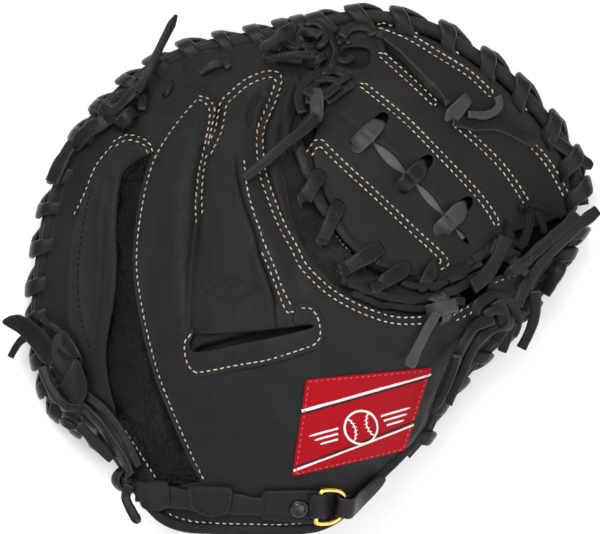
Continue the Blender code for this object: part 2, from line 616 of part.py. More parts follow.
def strap_end():
    """The strap folded round the ring's bow, its tapered end lying on the back."""
    up = RING_OUT.cross(RING_ALONG)
    fold = [(19, -2.8), (17, -2.8), (14, -2.8), (11.6, -1.6), (11.0, 0.2), (11.6, 2.0), (14, 2.9), (18, 3.1)]
    path = [RING_AT + RING_OUT * u + up * n for u, n in fold]
    path += [Vector((x, y, back([(x, y)])[0] + 5.2)) for x, y in ((30, -116), (36, -110.5), (42, -105))]
    path = np.array([tuple(v) for v in curve_through(path, 2.5)])
    ahead = np.gradient(path, axis=0)
    ups = np.cross(np.array(RING_ALONG), ahead)
    taper = np.interp(np.linspace(0, 1, len(path)), [0, 0.55, 0.9, 1], [1, 1, 0.55, 0.2])
    sweep("strap_end", path, ups, 3.6, 0.7, "lace_leather", 6, taper)


# The ring's bar, and the directions out along the ring and along the bar
RING_AT = Vector((9.0, -119.0, 88.6))
RING_OUT = Vector((1.0, 0.0, -0.62)).normalized()
RING_ALONG = (Vector((0.0, 1.0, 0.40)) - RING_OUT * Vector((0.0, 1.0, 0.40)).dot(RING_OUT)).normalized()
RING_REACH = 15.5


def web_side():
    """The two web panels, their edges, the T laces and the laces that join them."""
    for suffix, sign in (("fingers", -1), ("thumb", 1)):
        outline = keep_side(curve_through(WEB_UPPER, FINE + 1, True), sign, 2.2)
        slab("web_upper_" + suffix, outline, web, offset(web, -3.4), "shell_leather", FINE + 1)
        rim("web_" + suffix, split_line(WEB_EDGE, sign, 6.0), offset(web, -1.0), 3.2, 4.2, 19.0)
    outline = curve_through(WEB_LOWER, FINE, True)
    slab("web_lower", outline, web, offset(web, -3.8), "shell_leather", FINE)
    rim("web_lower", split_line(WEB_LOWER_EDGE, -1, 2.0), offset(web, -2.0), 1.7, 2.7, 14.0)
    strip("web_tie_lace", WEB_TIE, web, -6.5, 2.4, 0.9)
    for number, (x, y) in enumerate(TEES):
        solid(f"web_tee_{number + 1}", (x, y, web([(x, y)])[0] + 4.9), (10.0, 3.6, 2.4), 38, "lace_leather")
    path, _ = on_surface(CROTCH_ROLL, offset(palm, LEATHER + LAYER_GAP + 5.0), 0.0, 7.0)
    sweep("crotch_roll", path, level(path), 4.4, 4.4, "palm_leather", 8)


def lace(name, points, wide=LACE_WIDE, high=1.1, spacing=4.0, taper=None, slot="lace_leather"):
    """A lace through points in space, its flat side up."""
    path = np.array([tuple(v) for v in curve_through(points, spacing)])
    scale = None if taper is None else np.interp(np.linspace(0, 1, len(path)), *taper)
    return sweep(name, path, level(path), wide, high, slot, 6, scale)


def knot(name, x, y, surface, lift, size, turn_deg):
    return solid(name, (x, y, surface([(x, y)])[0] + lift), size, turn_deg, "lace_leather",
                 up=normals(surface, [(x, y)])[0])


LEAF = ([0, 0.25, 0.6, 0.9, 1], [0.7, 1.2, 1.5, 0.8, 0.3])
POINTED = ([0, 0.85, 1], [1, 1, 0.4])


def rim_laces():
    rim("fingers", split_line(RIM, -1, 7.0), rim_middle, ROLL_WIDE, ROLL_HIGH, RIM_PITCH)
    rim("thumb", split_line(THUMB_RIM, 1, 8.0), rim_middle, ROLL_WIDE, ROLL_HIGH, RIM_PITCH)
    rim("heel", split_line(THUMB_RIM, -1, 8.0), rim_middle, ROLL_WIDE, ROLL_HIGH, RIM_PITCH)


def top_laces():
    """Knots and tails over the web and the finger tips."""
    knot("web_knot", 79, 79, web, 5.4, (7.0, 5.0, 3.2), 20)
    knot("index_knot", 11, 78, web, 6.0, (7.0, 4.5, 4.0), 60)
    lace("tip_tail_upper", [(-5, 126, 52), (-10, 120, 52), (-19, 110, 54)], 2.6, taper=POINTED)
    lace("rim_tail", [(-81, 88, 45), (-76, 97, 45.5), (-70, 110, 42), (-62, 126, 37)], 2.0, 1.0, taper=POINTED)


def side_laces():
    """Knots, bows and tails at the little finger and at the heel."""
    lace("pinky_leaf_upper", [(-126, -32, 34), (-134, -30, 32), (-142, -28.5, 26), (-149.5, -27.5, 20)],
         2.3, 1.0, taper=LEAF)
    knot("pinky_knot", -119, -39, back, 8.5, (6.0, 8.5, 3.4), -30)
    knot("heel_knot", -114.5, -75, back, 7.5, (5.5, 5.0, 4.0), 20)
    lace("heel_strap", [(-105, -70, 46), (-97, -80, 47), (-90, -90, 50), (-84, -101, 54)], 4.2, 1.0)


def thumb_laces():
    """Laces at the crotch, on the thumb and beside the label."""
    knot("crotch_knot", 70, -17, back, 5.0, (6.0, 4.5, 3.0), 45)
    knot("thumb_knot", 103, -23, back, 8.8, (8.5, 6.0, 4.0), 60)
    lace("thumb_band", [(112, 5, 52), (124, 13.5, 49), (136, 22, 44), (147, 30, 38)], 3.2, 1.3)
    lace("heel_strip", [(78, -44, 74), (76, -52, 67), (72, -62, 61), (67, -71, 57)], 3.4, 1.0,
         taper=POINTED)


def main():
    for old in list(bpy.data.objects):
        bpy.data.objects.remove(old)
    palm_side()
    back_side()
    wrist()
    web_side()
    rim_laces()
    top_laces()
    side_laces()
    thumb_laces()


main()
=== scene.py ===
"""Looks of the black leather catcher's mitt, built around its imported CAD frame.

Lengths are in millimetres and become metres when a mesh is made. The heights of the back, the palm and the
web are the same three surfaces as in the CAD part, so each piece lies where its CAD node does.
"""

import itertools
import math

import bpy
import numpy as np
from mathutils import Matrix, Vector
from mathutils.geometry import delaunay_2d_cdt


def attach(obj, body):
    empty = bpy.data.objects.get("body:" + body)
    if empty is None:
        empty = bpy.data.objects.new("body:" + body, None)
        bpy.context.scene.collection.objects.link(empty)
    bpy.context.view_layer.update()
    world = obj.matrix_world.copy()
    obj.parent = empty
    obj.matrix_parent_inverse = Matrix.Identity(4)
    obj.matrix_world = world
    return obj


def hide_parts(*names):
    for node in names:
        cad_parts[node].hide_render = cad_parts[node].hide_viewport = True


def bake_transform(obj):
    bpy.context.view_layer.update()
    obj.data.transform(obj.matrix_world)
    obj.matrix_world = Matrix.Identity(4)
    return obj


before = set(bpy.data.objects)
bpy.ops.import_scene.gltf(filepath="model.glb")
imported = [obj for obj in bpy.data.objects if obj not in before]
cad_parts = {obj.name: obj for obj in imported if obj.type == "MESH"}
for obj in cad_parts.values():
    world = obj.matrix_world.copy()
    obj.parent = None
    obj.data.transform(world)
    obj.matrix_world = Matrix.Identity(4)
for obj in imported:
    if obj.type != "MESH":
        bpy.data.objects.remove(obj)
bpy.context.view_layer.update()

MM = 0.001
HINGE_A = np.array([73.0, -106.0])      # the ends of the thumb's hinge line in plan
HINGE_B = np.array([110.0, 112.0])
HINGE_WAY = (HINGE_B - HINGE_A) / np.linalg.norm(HINGE_B - HINGE_A)
FOLD_FROM = -15.0        # a piece rides on the fingers only if all of it lies more than this on the finger side of the thumb's hinge line
FOLD_TO = 27.0           # and on the thumb only if all of it lies more than this beyond it
STITCH_PITCH = 3.4
STITCH_LONG = 2.15
ROW_APART = 3.4          # between the two rows of a double seam
STITCH_RINGS = 7         # rings of points along one stitch
STITCH_SIDES = 6         # points in each of them
LACE = 2.6               # half width of a flat lace
LACE_THICK = 1.05        # half thickness of a flat lace
SURFACE_EASE = 30.0      # how freely a height surface may pass beside its given points
TINY = 1e-9              # keeps a length or an area from being divided by nothing
CLOSE_ROWS = (0.18, 0.6, 1.4)   # rows of points along the edges of a panel

scene = bpy.context.scene


# ---------------------------------------------------------------- arrays

def plan(p):
    """Plan points as rows of x and y."""
    return np.asarray(p, float).reshape(-1, 2)


def as_xy(points):
    return np.array([tuple(v)[:2] for v in points], float)


def unit(v):
    """Each row of v at length 1."""
    return v / np.maximum(np.linalg.norm(v, axis=-1, keepdims=True), TINY)


def right_of(ahead):
    """Plan directions turned a quarter turn to the right."""
    return np.column_stack([ahead[:, 1], -ahead[:, 0]])


def run_along(points):
    """Distance from the first point to each point, along the line."""
    return np.concatenate([[0], np.cumsum(np.linalg.norm(np.diff(points, axis=0), axis=1))])


def smooth(t):
    t = np.clip(t, 0, 1)
    return t * t * (3 - 2 * t)


# ---------------------------------------------------------------- surfaces

def spline_surface(points):
    """A smooth height over the plan through the given (x, y, height) points, as a thin plate would lie."""
    xy = as_xy(points)
    heights = np.array([p[2] for p in points], float)

    def bend(r2):
        return 0.5 * r2 * np.log(np.maximum(r2, TINY))

    apart = ((xy[:, None] - xy[None]) ** 2).sum(2)
    plane = np.column_stack([np.ones(len(xy)), xy])
    system = np.block([[bend(apart) + SURFACE_EASE * np.eye(len(xy)), plane], [plane.T, np.zeros((3, 3))]])
    weights = np.linalg.solve(system, np.concatenate([heights, np.zeros(3)]))

    def height(p):
        p = plan(p)
        far = ((p[:, None] - xy[None]) ** 2).sum(2)
        return bend(far) @ weights[:-3] + np.column_stack([np.ones(len(p)), p]) @ weights[-3:]

    return height


back = spline_surface([
    (-132, 0, 24), (-130, 30, 25), (-121, 58, 27), (-105, 84, 29), (-85, 103, 31), (-58, 116, 33),
    (-30, 121, 35), (-8, 124, 36), (-133, -25, 22), (-131, -50, 22), (-122, -72, 24), (-98, -84, 34),
    (-85, -100, 44), (-70, -122, 62), (139, 14, 30), (133, 1, 27), (125, -12, 26), (117, -20, 26),
    (107, -34, 26), (93, -46, 27), (80, -60, 32), (68, -74, 42), (66, -88, 48), (50, -97, 58), (38, -104, 64),
    (-50, -130, 76), (-20, -132, 82), (10, -131, 78), (25, -124, 72), (0, 0, 98), (20, -40, 103),
    (-40, -60, 98), (-60, 0, 80), (-90, 0, 60), (-110, 0, 42), (-25, 70, 66), (-60, 85, 46), (-20, -100, 94),
    (35, -90, 82), (60, -30, 88), (80, -35, 68), (110, -10, 40), (-10, 40, 84), (-50, 40, 72), (-85, 45, 52),
    (-95, -50, 58), (-70, -60, 84), (-85, -75, 60), (0, 100, 50), (8, 60, 72), (12, 20, 88), (78, -10, 68),
])
palm_spline = spline_surface([
    (-132, 0, 6), (-130, 30, 7), (-121, 58, 8), (-105, 84, 9), (-85, 103, 11), (-58, 116, 13), (-30, 121, 14),
    (-8, 124, 15), (-133, -25, 3), (-131, -50, 1), (-122, -72, 0), (-98, -84, -1), (139, 14, 12), (133, 1, 8),
    (125, -12, 5), (107, -34, 2), (93, -46, 0), (80, -60, 0), (68, -74, -1), (-85, -95, -1), (-60, -80, -2),
    (-40, -95, 4), (-5, -98, 26), (30, -95, 5), (45, -70, -2), (50, -92, 0), (-5, -70, 32), (0, 0, 54),
    (30, 30, 58), (-60, 0, 42), (0, 60, 44), (-30, -30, 45), (30, -20, 50), (-90, 0, 26), (-60, 60, 30),
    (60, -20, 42), (90, -10, 28), (20, 80, 46), (0, 110, 22), (62, -45, 22), (-60, -40, 24), (-35, -65, 14),
    (28, -62, 16),
])
web = spline_surface([
    (0, 124, 34), (36, 131, 31), (62, 127, 30), (92, 110, 30), (118, 88, 28), (135, 65, 26), (144, 45, 24),
    (146, 28, 24), (70, 106, 40), (65, 56, 64), (56, 45, 68), (40, 31, 75), (100, 17, 50), (137, 27, 26),
    (5, 60, 73), (10, 30, 78), (30, 8, 80), (60, -5, 72), (78, 5, 60), (20, 62, 70), (30, 90, 54),
    (115, 50, 36), (95, 60, 46),
])


def palm(p):
    return np.maximum(palm_spline(p), 0.0)


def offset(base, by):
    return lambda p: base(p) + by


def lower_face(p):
    """The lower of the back and the web."""
    return np.minimum(back(p), web(p))


def rim_middle(p):
    return 0.5 * (back(p) + palm(p))


# ---------------------------------------------------------------- plan geometry

def distance_to(line, p, closed=True):
    """Distance of each point of p to a line in plan."""
    a = as_xy(line)
    b = np.roll(a, -1, axis=0)
    if not closed:
        a, b = a[:-1], b[:-1]
    p = np.asarray(p, float).reshape(-1, 1, 2)
    along = b - a
    t = ((p - a) * along).sum(2) / np.maximum((along ** 2).sum(1), TINY)
    near = a + np.clip(t, 0, 1)[..., None] * along
    return np.sqrt(((p - near) ** 2).sum(2)).min(1)


def inside(outline, p):
    """Which points of p lie inside the closed outline."""
    a = as_xy(outline)
    b = np.roll(a, -1, axis=0)
    p = np.asarray(p, float).reshape(-1, 1, 2)
    crosses = (a[:, 1] > p[..., 1]) != (b[:, 1] > p[..., 1])
    rise = b[:, 1] - a[:, 1]
    rise = np.where(np.abs(rise) < TINY, TINY, rise)
    at = a[:, 0] + (p[..., 1] - a[:, 1]) * (b[:, 0] - a[:, 0]) / rise
    return (crosses & (p[..., 0] < at)).sum(1) % 2 == 1


def depth_in(outline, p):
    """Distance into the outline, negative outside it."""
    return np.where(inside(outline, p), 1, -1) * distance_to(outline, p)


def curve(points, spacing=1.2, closed=False):
    """Points at about the given spacing on a smooth curve through the given ones, in 2 or 3 dimensions."""
    pts = [Vector(p) for p in points]
    count = len(pts)
    made = []
    for i in range(count if closed else count - 1):
        if closed:
            a, b, c, d = (pts[(i + k - 1) % count] for k in range(4))
        else:
            a, b, c, d = (pts[min(max(i + k - 1, 0), count - 1)] for k in range(4))
        pieces = max(1, round((c - b).length / spacing))
        for j in range(pieces):
            t = j / pieces
            made.append(0.5 * (2 * b + (c - a) * t + (2 * a - 5 * b + 4 * c - d) * t * t
                               + (3 * b - 3 * c + d - a) * t ** 3))
    if not closed:
        made.append(pts[-1].copy())
    return np.array([tuple(v) for v in made])


def cut_even(points, count):
    """The line through points, cut again into count equal lengths."""
    p = np.asarray(points, float)
    run = run_along(p)
    at = np.linspace(0, run[-1], count + 1)
    return np.column_stack([np.interp(at, run, p[:, k]) for k in range(p.shape[1])])


def length_of(points):
    return np.linalg.norm(np.diff(np.asarray(points, float), axis=0), axis=1).sum()


def beside(line, by, closed=False):
    """A line moved to its right by the given distance."""
    p = as_xy(line)
    if closed:
        ahead = np.roll(p, -1, axis=0) - np.roll(p, 1, axis=0)
    else:
        ahead = np.gradient(p, axis=0)
    return p + right_of(unit(ahead)) * by


def inset(outline, by):
    p = as_xy(outline)
    area = np.sum(p[:, 0] * np.roll(p[:, 1], -1) - np.roll(p[:, 0], -1) * p[:, 1])
    return beside(p, -by if area > 0 else by, True)


def hinge_side(p):
    """Signed distance in plan from the hinge line, positive towards the thumb."""
    p = plan(p)
    return (p[:, 0] - HINGE_A[0]) * HINGE_WAY[1] - (p[:, 1] - HINGE_A[1]) * HINGE_WAY[0]


def noise(p, size, seed=0):
    """Smooth noise from -1 to 1 with features about size across, for points in 2 or 3 dimensions."""
    q = np.asarray(p, float) / size + 31.7 * (seed + 1)
    low = np.floor(q)
    part = q - low
    part = part * part * (3 - 2 * part)
    total = np.zeros(len(q))
    spread = np.array([127.1, 311.7, 74.7])[:q.shape[1]]
    for corner in itertools.product((0, 1), repeat=q.shape[1]):
        value = np.sin((low + corner) @ spread) * 43758.5453
        weight = np.prod(np.where(corner, part, 1 - part), axis=1)
        total += weight * (2 * (value - np.floor(value)) - 1)
    return total


def wrinkles(p, depth=1.0, seed=0):
    """Soft unevenness of worn leather."""
    p = np.asarray(p, float)
    long_way = np.column_stack([p[:, 0] + 0.4 * p[:, 1], 0.35 * (p[:, 1] - 0.4 * p[:, 0])])
    return depth * (0.45 * noise(p, 17.0, seed) + 0.22 * noise(long_way, 5.5, seed + 1)
                    + 0.1 * noise(p, 2.6, seed + 2))


def worn(base, lift, depth, seed):
    """A surface lifted off another one, with the unevenness of worn leather."""
    return lambda p: base(p) + lift + wrinkles(p, depth, seed)


def groove(p, line, depth, width):
    return -depth * np.exp(-(distance_to(line, p, False) / width) ** 2)


def grooves(p, cuts):
    """The sum of several grooves, each given as its line, depth and width."""
    return sum(groove(p, *cut) for cut in cuts)


def bulge(outline, p, high, reach):
    """A swelling that starts at the outline and has its full height at reach into it."""
    return high * np.sin(np.clip(depth_in(outline, p) / reach, 0, 1) * math.pi / 2)


def normals(surface, xy):
    """Upward normals of a height surface at plan points."""
    xy = np.asarray(xy, float)
    dx = (surface(xy + [0.5, 0]) - surface(xy - [0.5, 0]))
    dy = (surface(xy + [0, 0.5]) - surface(xy - [0, 0.5]))
    return unit(np.column_stack([-dx, -dy, np.ones(len(xy))]))


def on_surface(points, surface, lift=0.0, spacing=1.2):
    """A path through plan points, lifted above a surface, with the surface's normals."""
    xy = curve(points, spacing)[:, :2]
    up = normals(surface, xy)
    lift = np.broadcast_to(np.asarray(lift, float), (len(xy),))
    return np.column_stack([xy, surface(xy)]) + up * lift[:, None], up


# ---------------------------------------------------------------- materials

def nodes_of(name):
    made = bpy.data.materials.new(name)
    made.use_nodes = True
    tree = made.node_tree
    return made, tree, tree.nodes["Principled BSDF"]


def add(tree, kind, **settings):
    node = tree.nodes.new(kind)
    for key, value in settings.items():
        if key in node.inputs:
            node.inputs[key].default_value = value
        else:
            setattr(node, key, value)
    return node


def place_node(tree):
    """The rest position in millimetres that every mesh here stores, so that the grain doesn't slide."""
    return add(tree, "ShaderNodeAttribute", attribute_name="rest_mm").outputs["Vector"]


def noise_node(tree, where, per_mm, detail=3.0, rough=0.55, distortion=0.0):
    node = add(tree, "ShaderNodeTexNoise", Scale=per_mm, Detail=detail, Roughness=rough,
               Distortion=distortion)
    tree.links.new(where, node.inputs["Vector"])
    return node.outputs["Fac"]


def ramp(tree, value, stops):
    node = add(tree, "ShaderNodeValToRGB")
    tree.links.new(value, node.inputs["Fac"])
    while len(node.color_ramp.elements) < len(stops):
        node.color_ramp.elements.new(0.5)
    for element, (at, colour) in zip(node.color_ramp.elements, stops):
        element.position = at
        element.color = (*colour, 1.0) if len(colour) == 3 else colour
    return node.outputs["Color"]


def maths(tree, how, a, b):
    node = add(tree, "ShaderNodeMath", operation=how)
    for value, socket in ((a, node.inputs[0]), (b, node.inputs[1])):
        if isinstance(value, (int, float)):
            socket.default_value = value
        else:
            tree.links.new(value, socket)
    return node.outputs[0]


def mix_colours(tree, share, a, b):
    node = add(tree, "ShaderNodeMix", data_type="RGBA")
    for value, socket in ((share, node.inputs[0]), (a, node.inputs[6]), (b, node.inputs[7])):
        if isinstance(value, float):
            socket.default_value = value
        elif isinstance(value, tuple):
            socket.default_value = (*value, 1.0)
        else:
            tree.links.new(value, socket)
    return node.outputs[2]


def bump(tree, height, strength, depth_mm, below=None):
    node = add(tree, "ShaderNodeBump", Strength=strength, Distance=depth_mm * MM)
    tree.links.new(height, node.inputs["Height"])
    if below is not None:
        tree.links.new(below, node.inputs["Normal"])
    return node.outputs["Normal"]


def leather(name, dark, light, worn, rough=(0.5, 0.68), pebble=1.1, grain=0.12, coarse=0.0, sheen=0.0,
            spec=0.42,
            fleck=0.05, wax=0.0):
    """Leather with pores and pebble grain, uneven colour and sheen, and paler rubbed edges."""
    made, tree, shader = nodes_of(name)
    where = place_node(tree)
    broad = noise_node(tree, where, 0.035, 4.0, 0.6)
    patchy = noise_node(tree, where, 0.23, 5.0, 0.62, 0.4)
    fine = noise_node(tree, where, 2.6, 3.0, 0.6)
    cells = add(tree, "ShaderNodeTexVoronoi", feature="SMOOTH_F1", Scale=pebble, Smoothness=0.6,
                Randomness=1.0)
    warp = add(tree, "ShaderNodeTexNoise", Scale=0.7, Detail=2.0)
    tree.links.new(where, warp.inputs["Vector"])
    shifted = add(tree, "ShaderNodeVectorMath", operation="ADD")
    tree.links.new(where, shifted.inputs[0])
    tree.links.new(warp.outputs["Color"], shifted.inputs[1])
    tree.links.new(shifted.outputs[0], cells.inputs["Vector"])
    base = mix_colours(tree, ramp(tree, broad, [(0.3, (0, 0, 0)), (0.72, (1, 1, 1))]), dark, light)
    speck = ramp(tree, patchy, [(0.42, (0, 0, 0)), (0.78, (1, 1, 1))])
    base = mix_colours(tree, maths(tree, "MULTIPLY", speck, 0.35), base, light)
    pore = ramp(tree, cells.outputs["Distance"], [(0.35, (0, 0, 0)), (0.85, (1, 1, 1))])
    base = mix_colours(tree, maths(tree, "MULTIPLY", pore, 0.3), base, tuple(0.6 * c for c in dark))
    flecks = ramp(tree, noise_node(tree, where, 3.1, 4.0, 0.7), [(0.55, (0, 0, 0)), (0.72, (1, 1, 1))])
    base = mix_colours(tree, maths(tree, "MULTIPLY", flecks, fleck), base, worn)
    wear = add(tree, "ShaderNodeAttribute", attribute_name="wear").outputs["Fac"]
    ragged = ramp(tree, fine, [(0.35, (0.25, 0.25, 0.25)), (0.7, (1, 1, 1))])
    wear = maths(tree, "MULTIPLY", wear, ragged)
    base = mix_colours(tree, wear, base, worn)
    tree.links.new(base, shader.inputs["Base Color"])
    shine = ramp(tree, patchy, [(0.3, (rough[0],) * 3), (0.75, (rough[1],) * 3)])
    tree.links.new(shine, shader.inputs["Roughness"])
    normal = bump(tree, patchy, 0.35, 0.35 + coarse)
    normal = bump(tree, cells.outputs["Distance"], 0.55, -grain, normal)
    normal = bump(tree, fine, 0.4, 0.5 * grain, normal)
    tree.links.new(normal, shader.inputs["Normal"])
    shader.inputs["Specular IOR Level"].default_value = spec
    shader.inputs["Sheen Weight"].default_value = sheen
    shader.inputs["Sheen Roughness"].default_value = 0.4
    shader.inputs["Coat Weight"].default_value = wax
    shader.inputs["Coat Roughness"].default_value = 0.3
    return made


def thread(name, stops, shade=(0.16, 0.11, 0.05)):
    """Twisted sewing thread; each stitch has its own tint."""
    made, tree, shader = nodes_of(name)
    where = place_node(tree)
    tint = add(tree, "ShaderNodeAttribute", attribute_name="tint").outputs["Fac"]
    colour = ramp(tree, tint, stops)
    strand = noise_node(tree, where, 3.2, 2.0)
    colour = mix_colours(tree, maths(tree, "MULTIPLY", strand, 0.45), colour, shade)
    tree.links.new(colour, shader.inputs["Base Color"])
    tree.links.new(bump(tree, strand, 0.6, 0.15), shader.inputs["Normal"])
    shader.inputs["Roughness"].default_value = 0.6
    shader.inputs["Sheen Weight"].default_value = 0.2
    return made


def woven(name, colour, dark, per_mm=1.6):
    """Close woven cloth with ribs both ways."""
    made, tree, shader = nodes_of(name)
    where = place_node(tree)
    ribs = []
    for direction in ("X", "Y"):
        wave = add(tree, "ShaderNodeTexWave", bands_direction=direction, Scale=per_mm, Distortion=0.5,
                   Detail=1.0)
        tree.links.new(where, wave.inputs["Vector"])
        ribs.append(wave.outputs["Fac"])
    weave = maths(tree, "MULTIPLY", *ribs)
    uneven = noise_node(tree, where, 0.5, 4.0)
    base = mix_colours(tree, maths(tree, "MULTIPLY", weave, 0.5), colour, dark)
    base = mix_colours(tree, maths(tree, "MULTIPLY", uneven, 0.3), base, dark)
    tree.links.new(base, shader.inputs["Base Color"])
    tree.links.new(bump(tree, weave, 0.5, 0.12), shader.inputs["Normal"])
    shader.inputs["Roughness"].default_value = 0.85
    shader.inputs["Specular IOR Level"].default_value = 0.12
    return made


def metal(name, bright, dull, rough):
    """Polished metal with fine wear and tarnish."""
    made, tree, shader = nodes_of(name)
    where = place_node(tree)
    stain = ramp(tree, noise_node(tree, where, 0.35, 5.0, 0.65), [(0.35, (0, 0, 0)), (0.7, (1, 1, 1))])
    tree.links.new(mix_colours(tree, stain, bright, dull), shader.inputs["Base Color"])
    scratch = noise_node(tree, where, 2.2, 4.0, 0.7)
    tree.links.new(ramp(tree, scratch, [(0.3, (rough,) * 3), (0.8, (rough + 0.14,) * 3)]),
                   shader.inputs["Roughness"])
    tree.links.new(bump(tree, scratch, 0.15, 0.04), shader.inputs["Normal"])
    shader.inputs["Metallic"].default_value = 1.0
    return made


SHELL = leather("shell", (0.0068, 0.0064, 0.0073), (0.0130, 0.0122, 0.0136), (0.028, 0.027, 0.027), spec=0.13)
SUEDE = leather("suede", (0.0040, 0.0037, 0.0032), (0.0185, 0.0172, 0.0155), (0.044, 0.041, 0.036),
                (0.75, 0.95),
                1.3, 1.0, 1.0, 0.12, 0.1, 0.45)
PEBBLE = leather("pebble", (0.0012, 0.0012, 0.0013), (0.0030, 0.0029, 0.0031), (0.020, 0.020, 0.020),
                 (0.3, 0.46),
                 0.55, 2.2, 0.8, spec=0.08, fleck=0.2)
PALM = leather("palm", (0.0068, 0.0066, 0.0066), (0.0128, 0.0124, 0.0126), (0.024, 0.023, 0.022),
               (0.52, 0.72),
               spec=0.16)
CORD = leather("lace", (0.0016, 0.0016, 0.0018), (0.0056, 0.0056, 0.0060), (0.060, 0.058, 0.060), (0.2, 0.42),
               1.5, 0.5,
               0.45, spec=0.1, fleck=0.12, wax=0.14)
# A paler copy of the lace leather: partly the laces' own paler, scratched leather and partly painted light on
# laces that catch the light.
PALE_AND_LIT_LACE = leather("pale_and_lit_lace", (0.006, 0.006, 0.0064), (0.026, 0.026, 0.027), (0.12, 0.118, 0.116), (0.4, 0.6),
              2.0,
              0.7,
              0.7, spec=0.3, fleck=0.5, wax=0.12)
# A darker copy of the lace leather for laces that lie in shade: its extra darkness is painted shade.
PAINTED_SHADE_LACE = leather("painted_shade_lace", (0.0012, 0.0012, 0.0013), (0.0036, 0.0036, 0.0038), (0.03, 0.03, 0.03),
                 (0.25, 0.45), 1.5,
                 0.5, 0.4, spec=0.08, fleck=0.1)
# Pale grey tie lace: its grey is painted light standing in for the dim backdrop seen through the web's gaps.
# The raw bit at the heel shares it.
TIE = leather("web_tie", (0.055, 0.055, 0.049), (0.10, 0.10, 0.09), (0.14, 0.14, 0.13), (0.7, 0.88), 2.2, 0.2,
              spec=0.2)
CLOTH = leather("lining", (0.007, 0.0068, 0.0065), (0.0125, 0.012, 0.0115), (0.02, 0.02, 0.02), (0.75, 0.9),
                2.4, 0.2,
                spec=0.1)
# Dark sheet put under holes and gaps: its dark colour is painted shade of the deep hollows, not the lining's
# own colour.
PAINTED_SHADE_LINING = leather("painted_shade_lining", (0.0028, 0.0027, 0.0026), (0.0060, 0.0058, 0.0055), (0.010, 0.010, 0.010),
               (0.8, 0.95), 1.8,
               0.3, spec=0.06)
THREAD = thread("seam_thread", [(0.0, (0.40, 0.33, 0.19)), (0.5, (0.50, 0.45, 0.33)),
                                (0.8, (0.38, 0.25, 0.10)),
                                (1.0, (0.32, 0.12, 0.03))])
RED = woven("patch_cloth", (0.32, 0.0028, 0.0085), (0.20, 0.0016, 0.005))
RED_THREAD = thread("patch_thread", [(0.0, (0.5, 0.012, 0.03)), (1.0, (0.62, 0.04, 0.06))],
                    (0.3, 0.003, 0.01))
WHITE = woven("patch_white", (0.68, 0.66, 0.66), (0.42, 0.4, 0.42), 2.4)
BLACK_CLOTH = woven("patch_black", (0.02, 0.015, 0.02), (0.01, 0.01, 0.01), 2.4)
BRASS = metal("gold_ring", (0.95, 0.62, 0.16), (0.72, 0.4, 0.07), 0.16)
SNAP = metal("black_snap", (0.05, 0.05, 0.052), (0.03, 0.03, 0.03), 0.22)


# ---------------------------------------------------------------- meshes

def cross_or_ride(made, xy):
    """Pieces wholly clear of the thumb's hinge line ride on the fingers or the thumb; those near it stay
    unattached with their transform baked.
    """
    side = hinge_side(xy)
    if side.max() < FOLD_FROM:
        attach(made, "fingers")
    elif side.min() > FOLD_TO:
        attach(made, "thumb")
    else:
        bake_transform(made)


def add_piece(name, verts, faces, material, replaced=(), wear=None, tint=None, body=None):
    """One visible piece from points in millimetres."""
    verts = np.asarray(verts, float)
    mesh = bpy.data.meshes.new(name)
    mesh.from_pydata([tuple(v) for v in verts * MM], [], [tuple(int(i) for i in f) for f in faces])
    mesh.validate()
    mesh.polygons.foreach_set("use_smooth", [True] * len(mesh.polygons))
    mesh.materials.append(material)
    rest = mesh.attributes.new("rest_mm", "FLOAT_VECTOR", "POINT")
    rest.data.foreach_set("vector", verts.astype(np.float32).ravel())
    for key, values in (("wear", wear), ("tint", tint)):
        if values is not None:
            mesh.attributes.new(key, "FLOAT",
                                "POINT").data.foreach_set("value", np.asarray(values, np.float32))
    made = bpy.data.objects.new(name, mesh)
    bpy.context.collection.objects.link(made)
    if body is None:
        cross_or_ride(made, verts[:, :2])
    else:
        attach(made, body)
    if replaced:
        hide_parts(*replaced)
    return made


def join(parts):
    """Several (verts, faces, values) lists as one."""
    verts, faces, values, first = [], [], [], 0
    for v, f, w in parts:
        verts.append(np.asarray(v, float))
        faces += [tuple(int(i) + first for i in face) for face in f]
        values.append(np.asarray(w, float))
        first += len(v)
    return np.concatenate(verts), faces, np.concatenate(values)


def tube_faces(count, sides, outward=True):
    """Quads between rings of points, one ring after another, and a cap at each end."""
    faces = []
    for i in range(count - 1):
        for k in range(sides):
            a, b = i * sides + k, i * sides + (k + 1) % sides
            faces.append((a, b, b + sides, a + sides) if outward else (b, a, a + sides, b + sides))
    caps = [tuple(reversed(range(sides))), tuple(range((count - 1) * sides, count * sides))]
    return faces + (caps if outward else [cap[::-1] for cap in caps])


